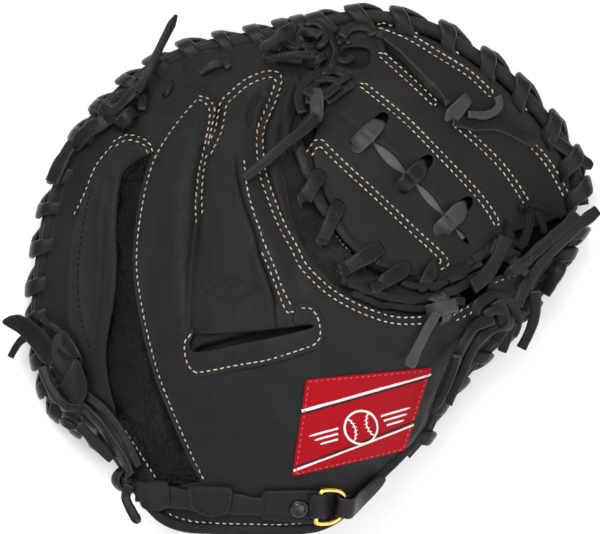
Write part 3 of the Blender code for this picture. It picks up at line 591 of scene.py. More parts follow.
def fill(outline, step, holes=(), rows=()):
    """Triangles that fill the outline less its holes, with extra rows of points along the edges."""
    loops = [as_xy(outline)] + [as_xy(h) for h in holes]
    low, high = loops[0].min(0), loops[0].max(0)
    lines = np.arange(math.floor(low[1] / (step * 0.866)), math.ceil(high[1] / (step * 0.866)) + 1)
    columns = np.arange(math.floor(low[0] / step) - 1, math.ceil(high[0] / step) + 2)
    grid = np.array([((c + 0.5 * (r % 2)) * step, r * step * 0.866) for r in lines for c in columns])
    reach = (rows[-1] if rows else 0.0) + 0.5 * step
    grid = grid[inside(loops[0], grid)]
    grid = grid[distance_to(loops[0], grid) > reach]
    for hole in loops[1:]:
        grid = grid[~inside(hole, grid)]
        grid = grid[distance_to(hole, grid) > reach]
    extra = []
    for number, loop in enumerate(loops):
        for row in rows:
            moved = inset(loop, row if number == 0 else -row)
            ok = np.abs(distance_to(loop, moved) - row) < 0.15 * row
            for other, ring in enumerate(loops):
                if other != number:
                    ok &= distance_to(ring, moved) > row
            extra.append(moved[ok])
    points, edges = [], []
    for loop in loops:
        first = len(points)
        points += [Vector(p) for p in loop]
        edges += [(first + i, first + (i + 1) % len(loop)) for i in range(len(loop))]
    points += [Vector(p) for p in np.concatenate(extra + [grid])]
    verts, _, faces = delaunay_2d_cdt(points, edges, [], 0, 1e-4)[:3]
    xy = as_xy(verts)
    faces = np.array([tuple(f) for f in faces])
    middles = xy[faces].mean(1)
    wanted = inside(loops[0], middles)
    for hole in loops[1:]:
        wanted &= ~inside(hole, middles)
    a, b, c = xy[faces[:, 0]], xy[faces[:, 1]], xy[faces[:, 2]]
    area = (b[:, 0] - a[:, 0]) * (c[:, 1] - a[:, 1]) - (b[:, 1] - a[:, 1]) * (c[:, 0] - a[:, 0])
    wanted &= np.abs(area) > 1e-6
    faces = np.where((area > 0)[:, None], faces, faces[:, ::-1])[wanted]
    used, faces = np.unique(faces, return_inverse=True)
    return xy[used], faces.reshape(-1, 3)


def sheet_between(name, outline, top, bottom, material, replaced=(), step=1.7, holes=(), round_by=1.3,
                  edge_wear=0.5, body=None, rows=CLOSE_ROWS, under_round=0.0):
    """A leather panel between two height surfaces, its upper edge rounded over and rubbed paler."""
    xy, faces = fill(outline, step, holes, rows)
    near = distance_to(outline, xy)
    for hole in holes:
        near = np.minimum(near, distance_to(hole, xy))
    reach = np.clip(near, 0, round_by)
    drop = round_by - np.sqrt(np.maximum(round_by ** 2 - (round_by - reach) ** 2, 0))
    low = bottom(xy)
    high = np.maximum(top(xy) - drop, low + 0.2)
    reach = np.clip(near, 0, under_round + 1e-6)
    low = low + under_round - np.sqrt(np.maximum(under_round ** 2 - (under_round - reach) ** 2, 0))
    low = np.minimum(low, high - 0.2)
    count = len(xy)
    verts = np.concatenate([np.column_stack([xy, high]), np.column_stack([xy, low])])
    directed = {(int(f[i]), int(f[(i + 1) % 3])) for f in faces for i in range(3)}
    walls = []
    for a, b in sorted(directed):
        if (b, a) not in directed:
            walls += [(b, a, a + count), (b, a + count, b + count)]
    under = faces[:, ::-1] + count
    rubbed = edge_wear * np.exp(-(near / 0.9) ** 2) * (0.6 + 0.4 * noise(xy, 6.0, 5))
    wear = np.concatenate([rubbed, np.full(count, edge_wear * 0.5)])
    return add_piece(name, verts, faces.tolist() + under.tolist() + walls, material, replaced, wear,
                     body=body)


def frames(path, ups):
    """Side and up directions along a path, from a wanted up direction at each point."""
    ahead = unit(np.gradient(np.asarray(path, float), axis=0))
    side = unit(np.cross(ahead, ups))
    return side, np.cross(side, ahead)


def lace_section(wide, high):
    """Outline of a flat lace: a rectangle with rounded corners, slightly crowned."""
    made = []
    for k in range(16):
        a = 2 * math.pi * (k + 0.5) / 16
        c, s = math.cos(a), math.sin(a)
        made.append((wide * math.copysign(abs(c) ** 0.5, c), high * math.copysign(abs(s) ** 0.62, s)))
    return np.array(made)


def ribbon(path, ups, wide=LACE, high=LACE_THICK, taper=None, seed=0, uneven=0.12):
    """Points and faces of a flat lace along a path; taper scales its width."""
    p = np.asarray(path, float)
    side, up = frames(p, np.asarray(ups, float))
    scale = np.ones(len(p)) if taper is None else np.interp(np.linspace(0, 1, len(p)), *taper)
    run = run_along(p)[:, None]
    scale = scale * (1 + uneven * noise(run, 6.0, seed))
    shape = lace_section(wide, high)
    sides = len(shape)
    cup = 0.25 * noise(run, 9.0, seed + 3)
    verts = (p[:, None] + side[:, None] * (shape[:, 0] * scale[:, None])[..., None]
             + up[:, None] * (shape[:, 1]
                              + cup[:, None] * (shape[:, 0] / wide) ** 2)[..., None]).reshape(-1, 3)
    verts = verts + 0.07 * np.column_stack([noise(verts, 1.6, seed + k) for k in range(3)])
    edge = np.clip((np.abs(shape[:, 0]) / np.abs(shape[:, 0]).max() - 0.8) / 0.2, 0, 1)
    wear = np.tile(0.06 + 0.6 * edge, len(p))
    wear[:sides] = 0.9
    wear[-sides:] = 0.9
    return verts, tube_faces(len(p), sides, False), wear


def level(path):
    return np.tile([0.0, 0.0, 1.0], (len(path), 1))


def lay(points, surface, lift=1.4, wide=LACE, high=LACE_THICK, taper=None, seed=0, spacing=1.2):
    """A lace lying over a surface."""
    path, up = on_surface(points, surface, lift, spacing)
    return ribbon(path, up, wide, high, taper, seed)


def hang(points, wide, high, taper, seed):
    """A lace through points in space, flat side up."""
    path = curve(points, 1.2)
    return ribbon(path, level(path), wide, high, taper, seed)


def laces(name, parts, replaced=(), material=None, body=None):
    verts, faces, wear = join(parts)
    return add_piece(name, verts, faces, material or CORD, replaced, wear, body=body)


def seam(name, lines, surface, pitch=STITCH_PITCH, long=STITCH_LONG, thick=0.38, material=None,
         seed=0, body=None):
    """Rows of single stitches over a surface: short threads whose ends dive into the leather."""
    parts = []
    faces = tube_faces(STITCH_RINGS, STITCH_SIDES)
    along = np.linspace(-1, 1, STITCH_RINGS)
    girth = np.sqrt(np.maximum(1 - along ** 4, 0.03)) * thick
    rise = 0.12 + 0.22 * (1 - along ** 2) - 0.18 * along ** 4
    turns = [2 * math.pi * j / STITCH_SIDES for j in range(STITCH_SIDES)]
    local = np.random.default_rng(100 + seed)
    for line in lines:
        fine = curve(line, 0.8)[:, :2]
        count = max(1, round(length_of(fine) / pitch))
        dots = cut_even(fine, count * 2)[1::2]
        ahead = unit(np.gradient(dots, axis=0) if len(dots) > 1 else np.array([fine[-1] - fine[0]]))
        up = normals(surface, dots)
        heights = surface(dots)
        for i, dot in enumerate(dots):
            aim = unit(ahead[i] + 0.2 * local.normal(0, 0.35, 2))
            way = np.array([*aim, 0.0])
            way = unit(way - up[i] * way.dot(up[i]))
            side = np.cross(up[i], way)
            half = 0.5 * long * (1 + 0.12 * local.normal())
            centre = np.array([*dot, heights[i]])
            verts = [centre + way * along[k] * half + side * girth[k] * math.cos(a)
                     + up[i] * (rise[k] + girth[k] * 0.8 * math.sin(a)) for k in range(STITCH_RINGS)
                     for a in turns]
            parts.append((verts, faces, np.full(len(verts), np.clip(local.beta(1.3, 1.6), 0, 1))))
    verts, faces, tint = join(parts)
    return add_piece(name, verts, faces, material or THREAD, (), None, tint, body)


def both(line, apart=ROW_APART):
    """The two rows of a double seam along a middle line."""
    fine = curve(line, 1.5)[:, :2]
    return [beside(fine, apart / 2), beside(fine, -apart / 2)]


def double_seam(line, apart):
    """The two rows of a double seam joined at both ends, as one line."""
    right, left = both(line, apart)
    return np.concatenate([right, left[::-1], right[:1]])


WHIP_STEPS = 26          # points in one turn of a wound lace


def whip(line, beads, middle, wide, high, lean, inward, lace, thick, seed):
    """A lace wound over a rolled edge, crossing its top at each of the given bead points."""
    fine = curve(line, 1.0)[:, :2]
    run = run_along(fine)
    at = sorted(run[np.argmin(((fine - np.array(b)) ** 2).sum(1))] for b in beads)
    places, angles = [], []
    for i in range(len(at)):
        ahead = at[i + 1] - at[i] if i + 1 < len(at) else 0.0
        before = at[i] - at[i - 1] if i else 0.0
        for k in range(WHIP_STEPS):
            t = k / WHIP_STEPS - 0.5
            if t < 0:
                shift = -before * (1 - smooth((t + 0.75) / 0.5))
            else:
                shift = ahead * smooth((t - 0.25) / 0.5)
            places.append(at[i] + shift)
            angles.append(math.pi / 2 - 2 * math.pi * t)
    places, angles = np.array(places), np.array(angles)
    places = np.clip(places - 0.5 * lean * np.cos(angles), 0, run[-1])
    xy = np.column_stack([np.interp(places, run, fine[:, k]) for k in range(2)])
    direction = unit(np.gradient(fine, axis=0))
    ahead = np.column_stack([np.interp(places, run, direction[:, k]) for k in range(2)])
    out = np.column_stack([-ahead[:, 1], ahead[:, 0], np.zeros(len(xy))])
    c, s = np.cos(angles), np.sin(angles)
    reach = np.sign(c) * np.abs(c) ** 0.75 * wide - inward
    rise = np.sign(s) * np.abs(s) ** 0.75 * high
    path = np.column_stack([xy, middle(xy)]) + out * reach[:, None]
    path[:, 2] += rise
    away = out * (c / wide)[:, None]
    away[:, 2] += s / high
    return ribbon(path, unit(away), lace, thick, seed=seed, uneven=0.16)


def knot(x, y, surface, lift, size, turn_deg, seed=0):
    """A tied lace: two bands crossed over each other and a bight beside them."""
    base = np.array([x, y, surface([(x, y)])[0]])
    up = normals(surface, [(x, y)])[0]
    turn = math.radians(turn_deg)
    first = np.array([math.cos(turn), math.sin(turn), 0.0])
    first = unit(first - up * first.dot(up))
    second = np.cross(up, first)
    parts = []
    for number, (a, b, s, h, w) in enumerate(((1.0, 0.1, 1.0, 1.0, 0.46), (-0.35, 1.0, 0.85, 0.62, 0.42),
                                               (0.75, 0.8, 0.7, 0.42, 0.36))):
        aim = unit(first * a + second * b)
        shift = second * (0.3 * size * (number == 2)) - first * (0.25 * size * (number == 1))
        marks = [base + shift + aim * (size * s * k) + up * (lift * h * g)
                 for k, g in ((-1.05, -0.35), (-0.9, 0.45), (-0.45, 0.95), (0, 1.08), (0.45, 0.95),
                              (0.9, 0.45),
                              (1.05, -0.35))]
        path = curve(marks, 0.9)
        parts.append(ribbon(path, np.tile(up, (len(path), 1)) + 1e-3, size * w, 1.1, seed=seed + number))
    return parts


def bead(ends, surface, lift, wide, seed=0, sink=2.2, thick=1.3, peak=0.5):
    """A short piece of lace that comes out of one slit and goes back in at another."""
    a, b = np.array(ends[0], float), np.array(ends[-1], float)
    marks = [a, a + (b - a) * 0.12, a + (b - a) * peak, a + (b - a) * 0.88, b]
    xy = curve(marks, 0.8)[:, :2]
    share = np.linspace(0, 1, len(xy))
    rise = -sink + (lift + sink) * np.sin(math.pi * share) ** 0.45
    path = np.column_stack([xy, surface(xy) + rise])
    return ribbon(path, normals(surface, xy), wide, thick, ([0, 0.12, 0.5, 0.88, 1],
                                                            [0.72, 0.95, 1, 0.95, 0.72]), seed)


# ---------------------------------------------------------------- lines of the pattern, in plan

RIM = [(-83, -106), (-94, -90), (-110, -78), (-122, -68), (-127, -52), (-130, -36), (-131, -19), (-129, 2),
       (-125, 26), (-117, 48), (-106, 68), (-91, 85), (-74, 98), (-54, 108), (-34, 112), (-14, 116), (0, 119),
       (7, 120.5)]
WEB_EDGE = [(2, 120), (10, 122), (20, 124.5), (36, 126), (51, 124), (70, 118), (89, 106), (103, 96),
            (116, 83),
            (127, 70),
            (136, 56), (140, 42), (142, 31)]
THUMB_RIM = [(140, 22), (135, 14), (130, 4), (122, -7), (114, -18), (104, -30), (91, -42), (78, -56),
             (68, -68), (62, -82), (52, -93)]
WEB_LOWER_EDGE = [(4, 60), (8, 42), (18, 22), (32, 5), (48, -4), (62, -7), (73, -5)]
CROTCH_ROLL = [(-6, 78), (-7, 58), (-4, 34), (6, 10), (23, -9), (46, -18), (66, -17), (78, -11)]
PALM_INNER = [(-4, 98), (-4, 84), (-5, 60), (0, 36), (10, 15), (26, -4), (46, -12), (66, -11), (82, -4),
              (98, 4), (112, 9), (122, 16)]
HEEL_EDGE = [(40, -99), (20, -98), (-5, -94), (-25, -96), (-50, -102), (-70, -105)]
PAD_INNER = [(-13, 94), (-13, 78), (-16, 55), (-14, 30), (-4, 4), (16, -20), (44, -30), (64, -30), (80, -22),
             (97, -12), (110, -3)]
PAD_HEEL = [(40, -95), (20, -94), (-5, -90), (-25, -92), (-50, -98), (-68, -100)]
CAVITY = [(-62, -140), (-64, -100), (-84, -60), (-88, 10), (-80, 44), (-58, 66), (-24, 74), (-14, 30),
          (6, -8), (40, -30), (74, -32), (70, -56), (50, -86), (34, -110), (24, -140)]
LINER = [(-60, -92), (-66, -88), (-82, -60), (-86, 10), (-78, 42), (-58, 64), (-25, 72), (-17, 30), (2, -10),
         (36, -34), (66, -36), (64, -56), (50, -78), (38, -90), (0, -92)]
BACK_LINING = [(-118, 0), (-115, 25), (-107, 45), (-97, 62), (-84, 78), (-68, 90), (-49, 99), (-30, 103),
               (-10, 106), (-4, 96), (-1, 84), (-4, 66), (-5, 51), (-3, 31), (1, 14), (8, -6), (24, -22),
               (48, -30), (71, -29), (91, -20), (110, -2), (125, 8), (118, -6), (101, -26), (88, -39),
               (74, -52), (62, -64), (57, -80), (49, -88), (36, -99), (18, -118), (0, -124), (-42, -124),
               (-60, -122), (-70, -112), (-78, -101), (-88, -88), (-101, -76), (-112, -66), (-117, -52),
               (-119, -34)]
PINKY_STALL = [(-116, 0), (-112, 26), (-103, 49), (-93, 63), (-86, 67.5), (-77, 64.5), (-73, 57), (-81, 53),
               (-88.5, 45), (-91, 28), (-91, 0), (-92, -15), (-94.5, -28), (-96.5, -43), (-95, -59),
               (-92, -71),
               (-92.5, -78), (-101, -72), (-111, -56),
               (-116, -32)]
GUSSET = [(-90, 50), (-84, 57), (-73, 57), (-77, 40), (-80, 26), (-82, 0), (-79, -17), (-75, -36), (-69, -54),
          (-62, -72),
          (-55, -89), (-47.5, -107), (-70.5, -107.5), (-80, -91), (-87, -81), (-94, -74), (-98, -60),
          (-99.5, -43),
          (-97.5, -28), (-96, -14), (-94, 0), (-94, 28)]
INDEX_STALL = [(-5, 103), (0, 100), (0, 84), (-4, 68), (-7, 52), (-6.5, 38), (-3, 22), (3, 8), (9, -4),
               (-2, -4), (-9, 14),
               (-15, 31), (-19, 48), (-21, 62), (-19, 72), (-12, 84), (-6, 92)]
RING_SEAM = [(-47.5, -106), (-54.5, -91.5), (-64.5, -68), (-70.5, -52), (-76.5, -29.5), (-80.5, -7.5),
             (-81.3, 4),
             (-80.5, 17.5), (-78, 33.5), (-76, 43), (-72.2, 54.5), (-66.5, 64.5), (-59.5, 74.2),
             (-51.2, 83.8)]
RING_ROW_OUT = [(-51.2, 85.4), (-46.7, 84.5), (-43.5, 81.2), (-42.5, 78), (-43.5, 71.6), (-45.4, 62),
                (-46.7, 53.8),
                (-48, 46), (-48.5, 39), (-48.6, 33.5), (-48.3, 25.7)]
RING_ROW_IN = [(-51.2, 83.8), (-47.3, 81.8), (-45.1, 78), (-45.4, 71.6), (-47.3, 62), (-49.2, 53.8),
               (-50.8, 46),
               (-51.3, 39.7), (-52, 33.5), (-52, 27), (-51.2, 21.2)]
MIDDLE_SEAM = [(-46, 56.3), (-42.9, 62.7), (-40.6, 67.8), (-39.6, 72.9), (-39, 76.1), (-37.8, 81.8),
               (-33.3, 86.3),
               (-27.5, 91.4), (-20.5, 94.9), (-14.2, 96.2), (-10.7, 94), (-13.2, 84.4), (-16.7, 76.1),
               (-19.6, 68.4), (-19.9, 58.9), (-18.6, 46.7), (-14.2, 33.5), (-9, 20.5), (-2.7, 9.1), (2, 0),
               (12.5, -10.5), (24, -18), (36.5, -23.5), (48, -26.5), (61, -26.5)]
THUMB_SEAM = [(76, -25.5), (83, -22), (89, -18.5)]
SLIT_ROW = [(-27.9, 53.8), (-26.3, 39.7), (-23, 27), (-19.9, 18.7), (-18.2, 13), (-13.6, 2.3), (-8.5, -11),
            (-4.4, -19.2)]
SLIT_ROW_LOW = [(-19.2, 7.9), (-14.1, -3.8), (-9, -17.1), (-6.4, -22.2), (-4.2, -23.2), (-3.6, -20.5)]
WINDOW_SEAM = [(-53.5, -33), (-57, -37.5), (-56.5, -45.5), (-53.5, -51), (-48.5, -52), (-30.5, -48.5),
               (-16, -46),
               (0, -41), (7.5, -38), (10, -33.5), (9, -26), (5.5, -20.8), (0, -20.5)]
FOLD = [(-30.7, 62), (-31.4, 46), (-28.2, 31.5), (-23, 17.4), (-20, 4), (-16.6, -4.4), (-13, -17),
        (-11.5, -30)]
WINDOW = [(-53, -32.5), (-30, -32), (-8, -30.2), (4, -29), (6.5, -29.7), (-10, -34), (-30, -38), (-46, -41.5),
          (-53.5, -41.8), (-55, -38)]
BACK_LEATHER = [(-83.5, 4), (-82.7, 18), (-80.3, 34.5), (-78.2, 44), (-74.3, 56), (-68.3, 66.5), (-61, 76.5),
                (-57, 81), (-52.5, 87), (-46, 86.8), (-41.6, 82.8), (-40.4, 78), (-41.2, 72.5), (-42.6, 68.6),
                (-42, 73), (-41, 77.5), (-40, 82.5), (-35, 88.6), (-28.5, 93.8), (-21, 97.4), (-13.8, 98.6),
                (-8.6, 95.5), (-10.8, 84), (-14.3, 75.4), (-17.2, 67.8), (-17.5, 58.9), (-16.2, 47.2),
                (-11.9, 34.6), (-6.8, 21.8), (-0.6, 10.4), (4, 1.8), (14, -8.4), (25.2, -15.6), (37, -21),
                (48.2, -24), (61, -24), (72, -23.4), (81, -20), (90, -14.5), (102, -6), (112, 3), (122, 10.5),
                (130, 12.5), (127.5, 5), (120, -6.5), (112, -17), (102, -28.5), (89.5, -40.5), (76, -54),
                (66, -66.5), (60, -80.5), (52, -90.5), (43.5, -98.5), (35, -107), (26, -116.5), (14, -125.8),
                (0, -129.2), (-42, -129.2), (-46.5, -118), (-49.7, -107),
                (-56.8, -92.5), (-66.7, -69), (-72.8, -53), (-78.8, -30.5), (-82.8, -8)]
TONGUE = [(-43.5, 60), (-38, 64), (-31, 63)] + FOLD[1:] + [(-11.8, -30.6), (-30, -32.4), (-50.5, -33.4),
                                                           (-52.8, -31),
          (-53.6, -10), (-53, 6), (-51.4, 15), (-47.2, 24), (-46.2, 38), (-44.6, 52)]
SLOT_PATCH = [(-53, -30.5), (-58.8, -36), (-59.2, -46), (-55, -53.2), (-48.5, -54.5), (-30, -51),
              (-15.5, -48.5),
              (1, -43.5), (9.5, -40), (12.7, -33.5), (11.4, -25), (7, -18.3), (-1, -18), (-3.5, -27.8),
              (4, -28.4), (6.3, -29.8), (-10, -34), (-30, -38), (-46, -41.5), (-53.3, -41.6), (-54.6, -38),
              (-53, -34)]
HEEL_SIDE = [(-88.5, -82), (-85.5, -83), (-79.5, -92.5), (-71, -107), (-58, -108), (-46.5, -108), (-43, -129),
             (-57, -129), (-66, -125.6), (-73.5, -119.5), (-80, -111), (-85, -101), (-90, -92)]
RING_BULGE = [(-81, -45), (-80.5, 6), (-78, 27), (-72.5, 50), (-66, 64), (-59, 74), (-52, 81.5), (-47, 81),
              (-45.2, 77), (-45.6, 70), (-49, 54), (-52, 37), (-52.5, 22), (-53.6, 0), (-54, -45)]
MIDDLE_BULGE = [(-53, -35), (-53.6, 0), (-51.5, 24), (-49, 48), (-44, 60), (-40.5, 68), (-38.5, 78),
                (-33.5, 85),
                (-27, 90), (-20.5, 93.4), (-14.5, 94.6), (-12.2, 93), (-14.6, 84.4), (-18, 76.1), (-21, 68.4),
                (-21.4, 58.9), (-20, 46.7), (-15.8, 33.5), (-10.6, 20.5), (-4.2, 8.5), (-1, -10), (2, -35)]
WEB_LEATHER = [(12, 92), (14, 112), (22, 119), (36, 121), (51, 119), (69, 112.5), (87, 101.5), (100, 91.5),
               (113, 79), (123.5, 66.5), (132, 54), (136, 42), (139, 29), (128, 24), (120, 21), (110, 18.5),
               (101, 16), (95, 11), (88, 6), (80, 0), (73, -3.6), (62, -5.2), (48.5, -2.4), (33, 6.6),
               (19.6, 23),
               (9.6, 42), (5.6, 60), (8, 67), (11, 80)]
WEB_ROWS = [[(39.5, 121.3), (53.5, 115.8), (70, 105.8), (84.8, 96.5), (95.7, 86.3)],
            [(110.8, 65.9), (119.7, 57.6), (126.1, 49.3), (131.2, 40.4), (136.6, 29.5)],
            [(40.2, 106.7), (54.2, 94), (67.6, 81.2)],
            [(77, 72), (91.7, 59.5), (103.2, 47.4), (114.6, 30.2)],
            [(30.6, 91.4), (51, 74.8), (63.8, 62.1), (89.3, 35.3), (98.7, 21.2)]]
WEB_CORNER = [(4.2, 55.5), (7, 60), (9.6, 62), (14, 58), (21, 51.2), (38.3, 35.3), (56, 18.5), (71.5, 4),
              (70, 0.5), (62.5, -2.5)]
WEB_GAPS = [((36, 62.5), (53.5, 45.5), 2.6), ((57, 42.5), (72, 25.5), 1.9), ((77.5, 19), (84, 11.7), 1.1)]
WEB_BACKING = [(14, 84), (44, 79), (72, 55), (94, 30), (97, 12), (84, 2), (67, 10), (47, 28), (28, 47),
               (14, 64)]
CROTCH_BACKING = [(-9, 86), (6, 92), (16, 84), (15, 64), (23, 45), (38, 24), (56, 8), (70, 2), (66, -9),
                  (44, -9),
                  (20, 4), (4, 24), (-3, 44), (-6, 64)]
ARCH_HOLE = [(21.5, 108.5), (27, 109.8), (33.5, 109.0), (34.8, 105), (33, 100), (27, 99), (22, 101.5)]
TEES = [(34.2, 66.4), (56.5, 45.4), (76.5, 24.6)]
LABEL = [(3, -55.6), (66, -50), (52.5, -91.5), (-4, -104)]
WRIST_EDGE = [(-86, -103), (-81, -111.5), (-74.5, -120), (-66.5, -126.5), (-56, -129.6), (-42, -130.3),
              (-20, -130.5),
              (0, -130.3), (14, -127), (26, -118), (36, -108), (44, -100), (53, -91)]
PINKY_RIDGES = [[(-104.5, 40), (-108, 24), (-111, 2), (-111, -14), (-108.5, -31), (-103, -48)],
                [(-95, 42), (-97.5, 30), (-98.2, 4), (-99, -16), (-101.5, -32), (-102.5, -46)]]
RIM_BEADS = [(-103, -86), (-113, -79), (-122.5, -70), (-128, -58), (-131, -44), (-132, -24), (-130.5, -8),
             (-127.5, 10.5),
             (-124, 30), (-118.5, 46), (-107.5, 67), (-97.5, 80), (-83.5, 92), (-70, 102), (-54, 109),
             (-37, 113),
             (-21, 116), (-6, 119), (3, 120)]
THUMB_BEADS = [(137, 17), (131, 6), (123, -6), (113, -19), (101, -33), (89, -45), (77, -58), (67.5, -71),
               (60, -86)]
WEB_BEADS = [(12, 122), (31, 126), (52, 124), (75, 115.5), (95, 101.5), (112, 87), (128, 69), (138, 52),
             (141.5, 36)]


# ---------------------------------------------------------------- heights of the visible layers

def finger_swell(p):
    """Padding of the ring and middle fingers, which fades out towards the wrist."""
    ring_finger = bulge(RING_BULGE, p, 5.0, 11.0) * smooth((p[:, 1] + 40) / 55)
    return ring_finger + bulge(MIDDLE_BULGE, p, 4.6, 10.0) * smooth((p[:, 1] + 34) / 50)


SLIT = beside(curve(FOLD[:-1], 2.0), 1.8)
SKIN_GROOVES = [
    (RING_SEAM, 0.5, 1.5), (RING_ROW_OUT, 0.4, 1.2), (RING_ROW_IN, 0.4, 1.2), (MIDDLE_SEAM, 0.7, 2.6),
    (THUMB_SEAM, 0.6, 2.4),
    ([(-46.5, 60), (-49.6, 46), (-50.3, 30), (-51.8, 16), (-54, 0), (-54.5, -16), (-54.8, -30)], 1.9, 1.9),
    ([(-19, 86), (-23, 82), (-25.5, 76), (-25, 71)], 3.0, 1.5), ([(-28.5, 80), (-30, 72)], 1.4, 1.8),
    ([(-19, 82), (-20.5, 77), (-22.5, 72)], -1.6, 1.6), ([(-70, 40), (-68, 10), (-70, -20)], 0.8, 3),
    ([(20, -38), (30, -30), (44, -32)], 0.8, 5.0), ([(70, -30), (62, -46), (56, -66)], 0.7, 4.0),
]
PINKY_SEAM = [(-113.5, 25.5), (-108, 36), (-102, 50.5), (-93.5, 61), (-86, 64.6), (-77.5, 62), (-74.5, 56.5)]
PINKY_LOOP = curve(PINKY_STALL, 1.4, True)
PINKY_GROOVES = [
    ([(-95, 42), (-98, 26), (-98.5, 0), (-100.5, -26)], 1.5, 2.4),
    ([(-110, 30), (-112, 8), (-111, -20), (-106, -44)], 1.0, 3.0),
    ([(-104, -36), (-103, -52), (-99, -66)], 0.9, 3.0), (PINKY_SEAM, 0.6, 2.0),
]
TOE_GROOVES = [
    ([(-118, 60), (-104, 62), (-96, 70)], 1.2, 2.6), ([(-60, 104), (-58, 94), (-50, 90)], 1.3, 2.4),
    ([(-30, 110), (-36, 102), (-44, 98)], 1.4, 2.2), ([(-100, 78), (-92, 70), (-84, 74)], 1.5, 2.4),
    ([(-80, 92), (-76, 82), (-66, 80)], 1.6, 2.6),
]
WEB_GROOVES = [(row, 0.55, 2.3) for row in WEB_ROWS] + [
    (WEB_CORNER, 0.5, 2.3), ([(20, 75.5), (30, 68.5), (37.5, 61), (52.5, 46.5), (71, 26.5), (84, 12)], 0.9,
                             1.2),
    ([(40.5, 113), (52, 101.5), (66, 86.5), (71, 82)], 3.0, 1.7),
]
LIP_GROOVES = [([(-14, 52), (-10, 30), (-1, 10)], 1.6, 1.8), ([(-5, 44), (-2, 26), (8, 8)], 1.3, 1.5)]
INDEX_GROOVES = [([(-8, 90), (-9, 66), (-8, 44), (-2, 20)], 1.6, 1.5),
                 ([(-2, 88), (-10, 62), (-10, 44), (-5, 24)], 1.2, 1.2)]
BRIDGE_GROOVES = [([(2, 118), (8, 108), (9, 96), (6, 84)], 2.4, 2.2),
                  ([(16, 121), (19, 110), (17, 98)], 1.8, 2.2),
                  ([(22, 112.6), (27, 113.6), (32, 113.4)], 4.0, 2.2),
                  ([(-2, 104), (3, 92), (4, 78)], 1.8, 2.2)]


def skin(p):
    """Outer face of the continuous back leather."""
    p = plan(p)
    z = back(p) + 0.7 + finger_swell(p) + wrinkles(p, 0.9, 3) + grooves(p, SKIN_GROOVES)
    return z + groove(p, SLIT, 2.6, 1.9) * smooth((60 - p[:, 1]) / 12)


def tongue_top(p):
    """The long tongue of the middle stall, its right and lower edges lifted clear of the leather below."""
    p = plan(p)
    left = smooth((p[:, 0] + 52.2 - 5.4 * smooth((p[:, 1] - 8) / 16)) / 7)
    top = smooth((61.0 - p[:, 1]) / 26)
    rim = np.exp(-distance_to(FOLD, p, False) / 4.0)
    z = back(p) + finger_swell(p) + wrinkles(p, 0.8, 9)
    return z + 2.6 * left * top + 1.3 * rim * top + groove(p, FOLD, 1.0, 0.9)


def pinky_top(p):
    p = plan(p)
    return back(p) + 0.6 + bulge(PINKY_LOOP, p, 4.6, 11.0) + wrinkles(p, 1.1, 13) + grooves(p, PINKY_GROOVES)


def gusset_top(p):
    p = plan(p)
    z = back(p) - 0.9 + 1.1 * noise(p, 9.0, 21) + 0.7 * noise(p, 3.4, 22) + 0.3 * noise(p, 1.7, 23)
    return z + groove(p, [(-76, 44), (-80, 20), (-81, -8), (-77, -36), (-68, -66), (-58, -92)], 1.8, 1.6)


def toe_top(p):
    p = plan(p)
    z = back(p) - 1.4 + wrinkles(p, 1.7, 31) + grooves(p, TOE_GROOVES)
    return z - 2.6 * smooth(depth_in(GUSSET, p) / 2.5)


def web_top(p):
    p = plan(p)
    z = web(p) + wrinkles(p, 0.8, 41) + grooves(p, WEB_GROOVES)
    return z + 1.5 * smooth((13 - distance_to(WEB_EDGE, p, False)) / 9)


def lip_top(p):
    """The suede roll between the crotch seam and the lower edge of the web."""
    p = plan(p)
    line = curve(CROTCH_ROLL, 2.0)[:, :2]
    near = ((p[:, None] - line[None]) ** 2).sum(2).argmin(1)
    ahead = unit(np.gradient(line, axis=0))
    side = ((p - line[near]) * right_of(ahead)[near]).sum(1)
    t = np.clip(side / 13.0, -1, 1)
    share = 0.5 + 0.5 * t
    z = (back(p) - 4.5) * share + (web(p) - 6.0) * (1 - share)
    z += 3.5 * (1 - t * t) + 1.5 * noise(p, 8.0, 51) + 0.8 * noise(p, 2.6, 52) + grooves(p, LIP_GROOVES)
    return z - 2.4 * np.exp(-((side - 3) / 1.8) ** 2)


# ---------------------------------------------------------------- shell leather

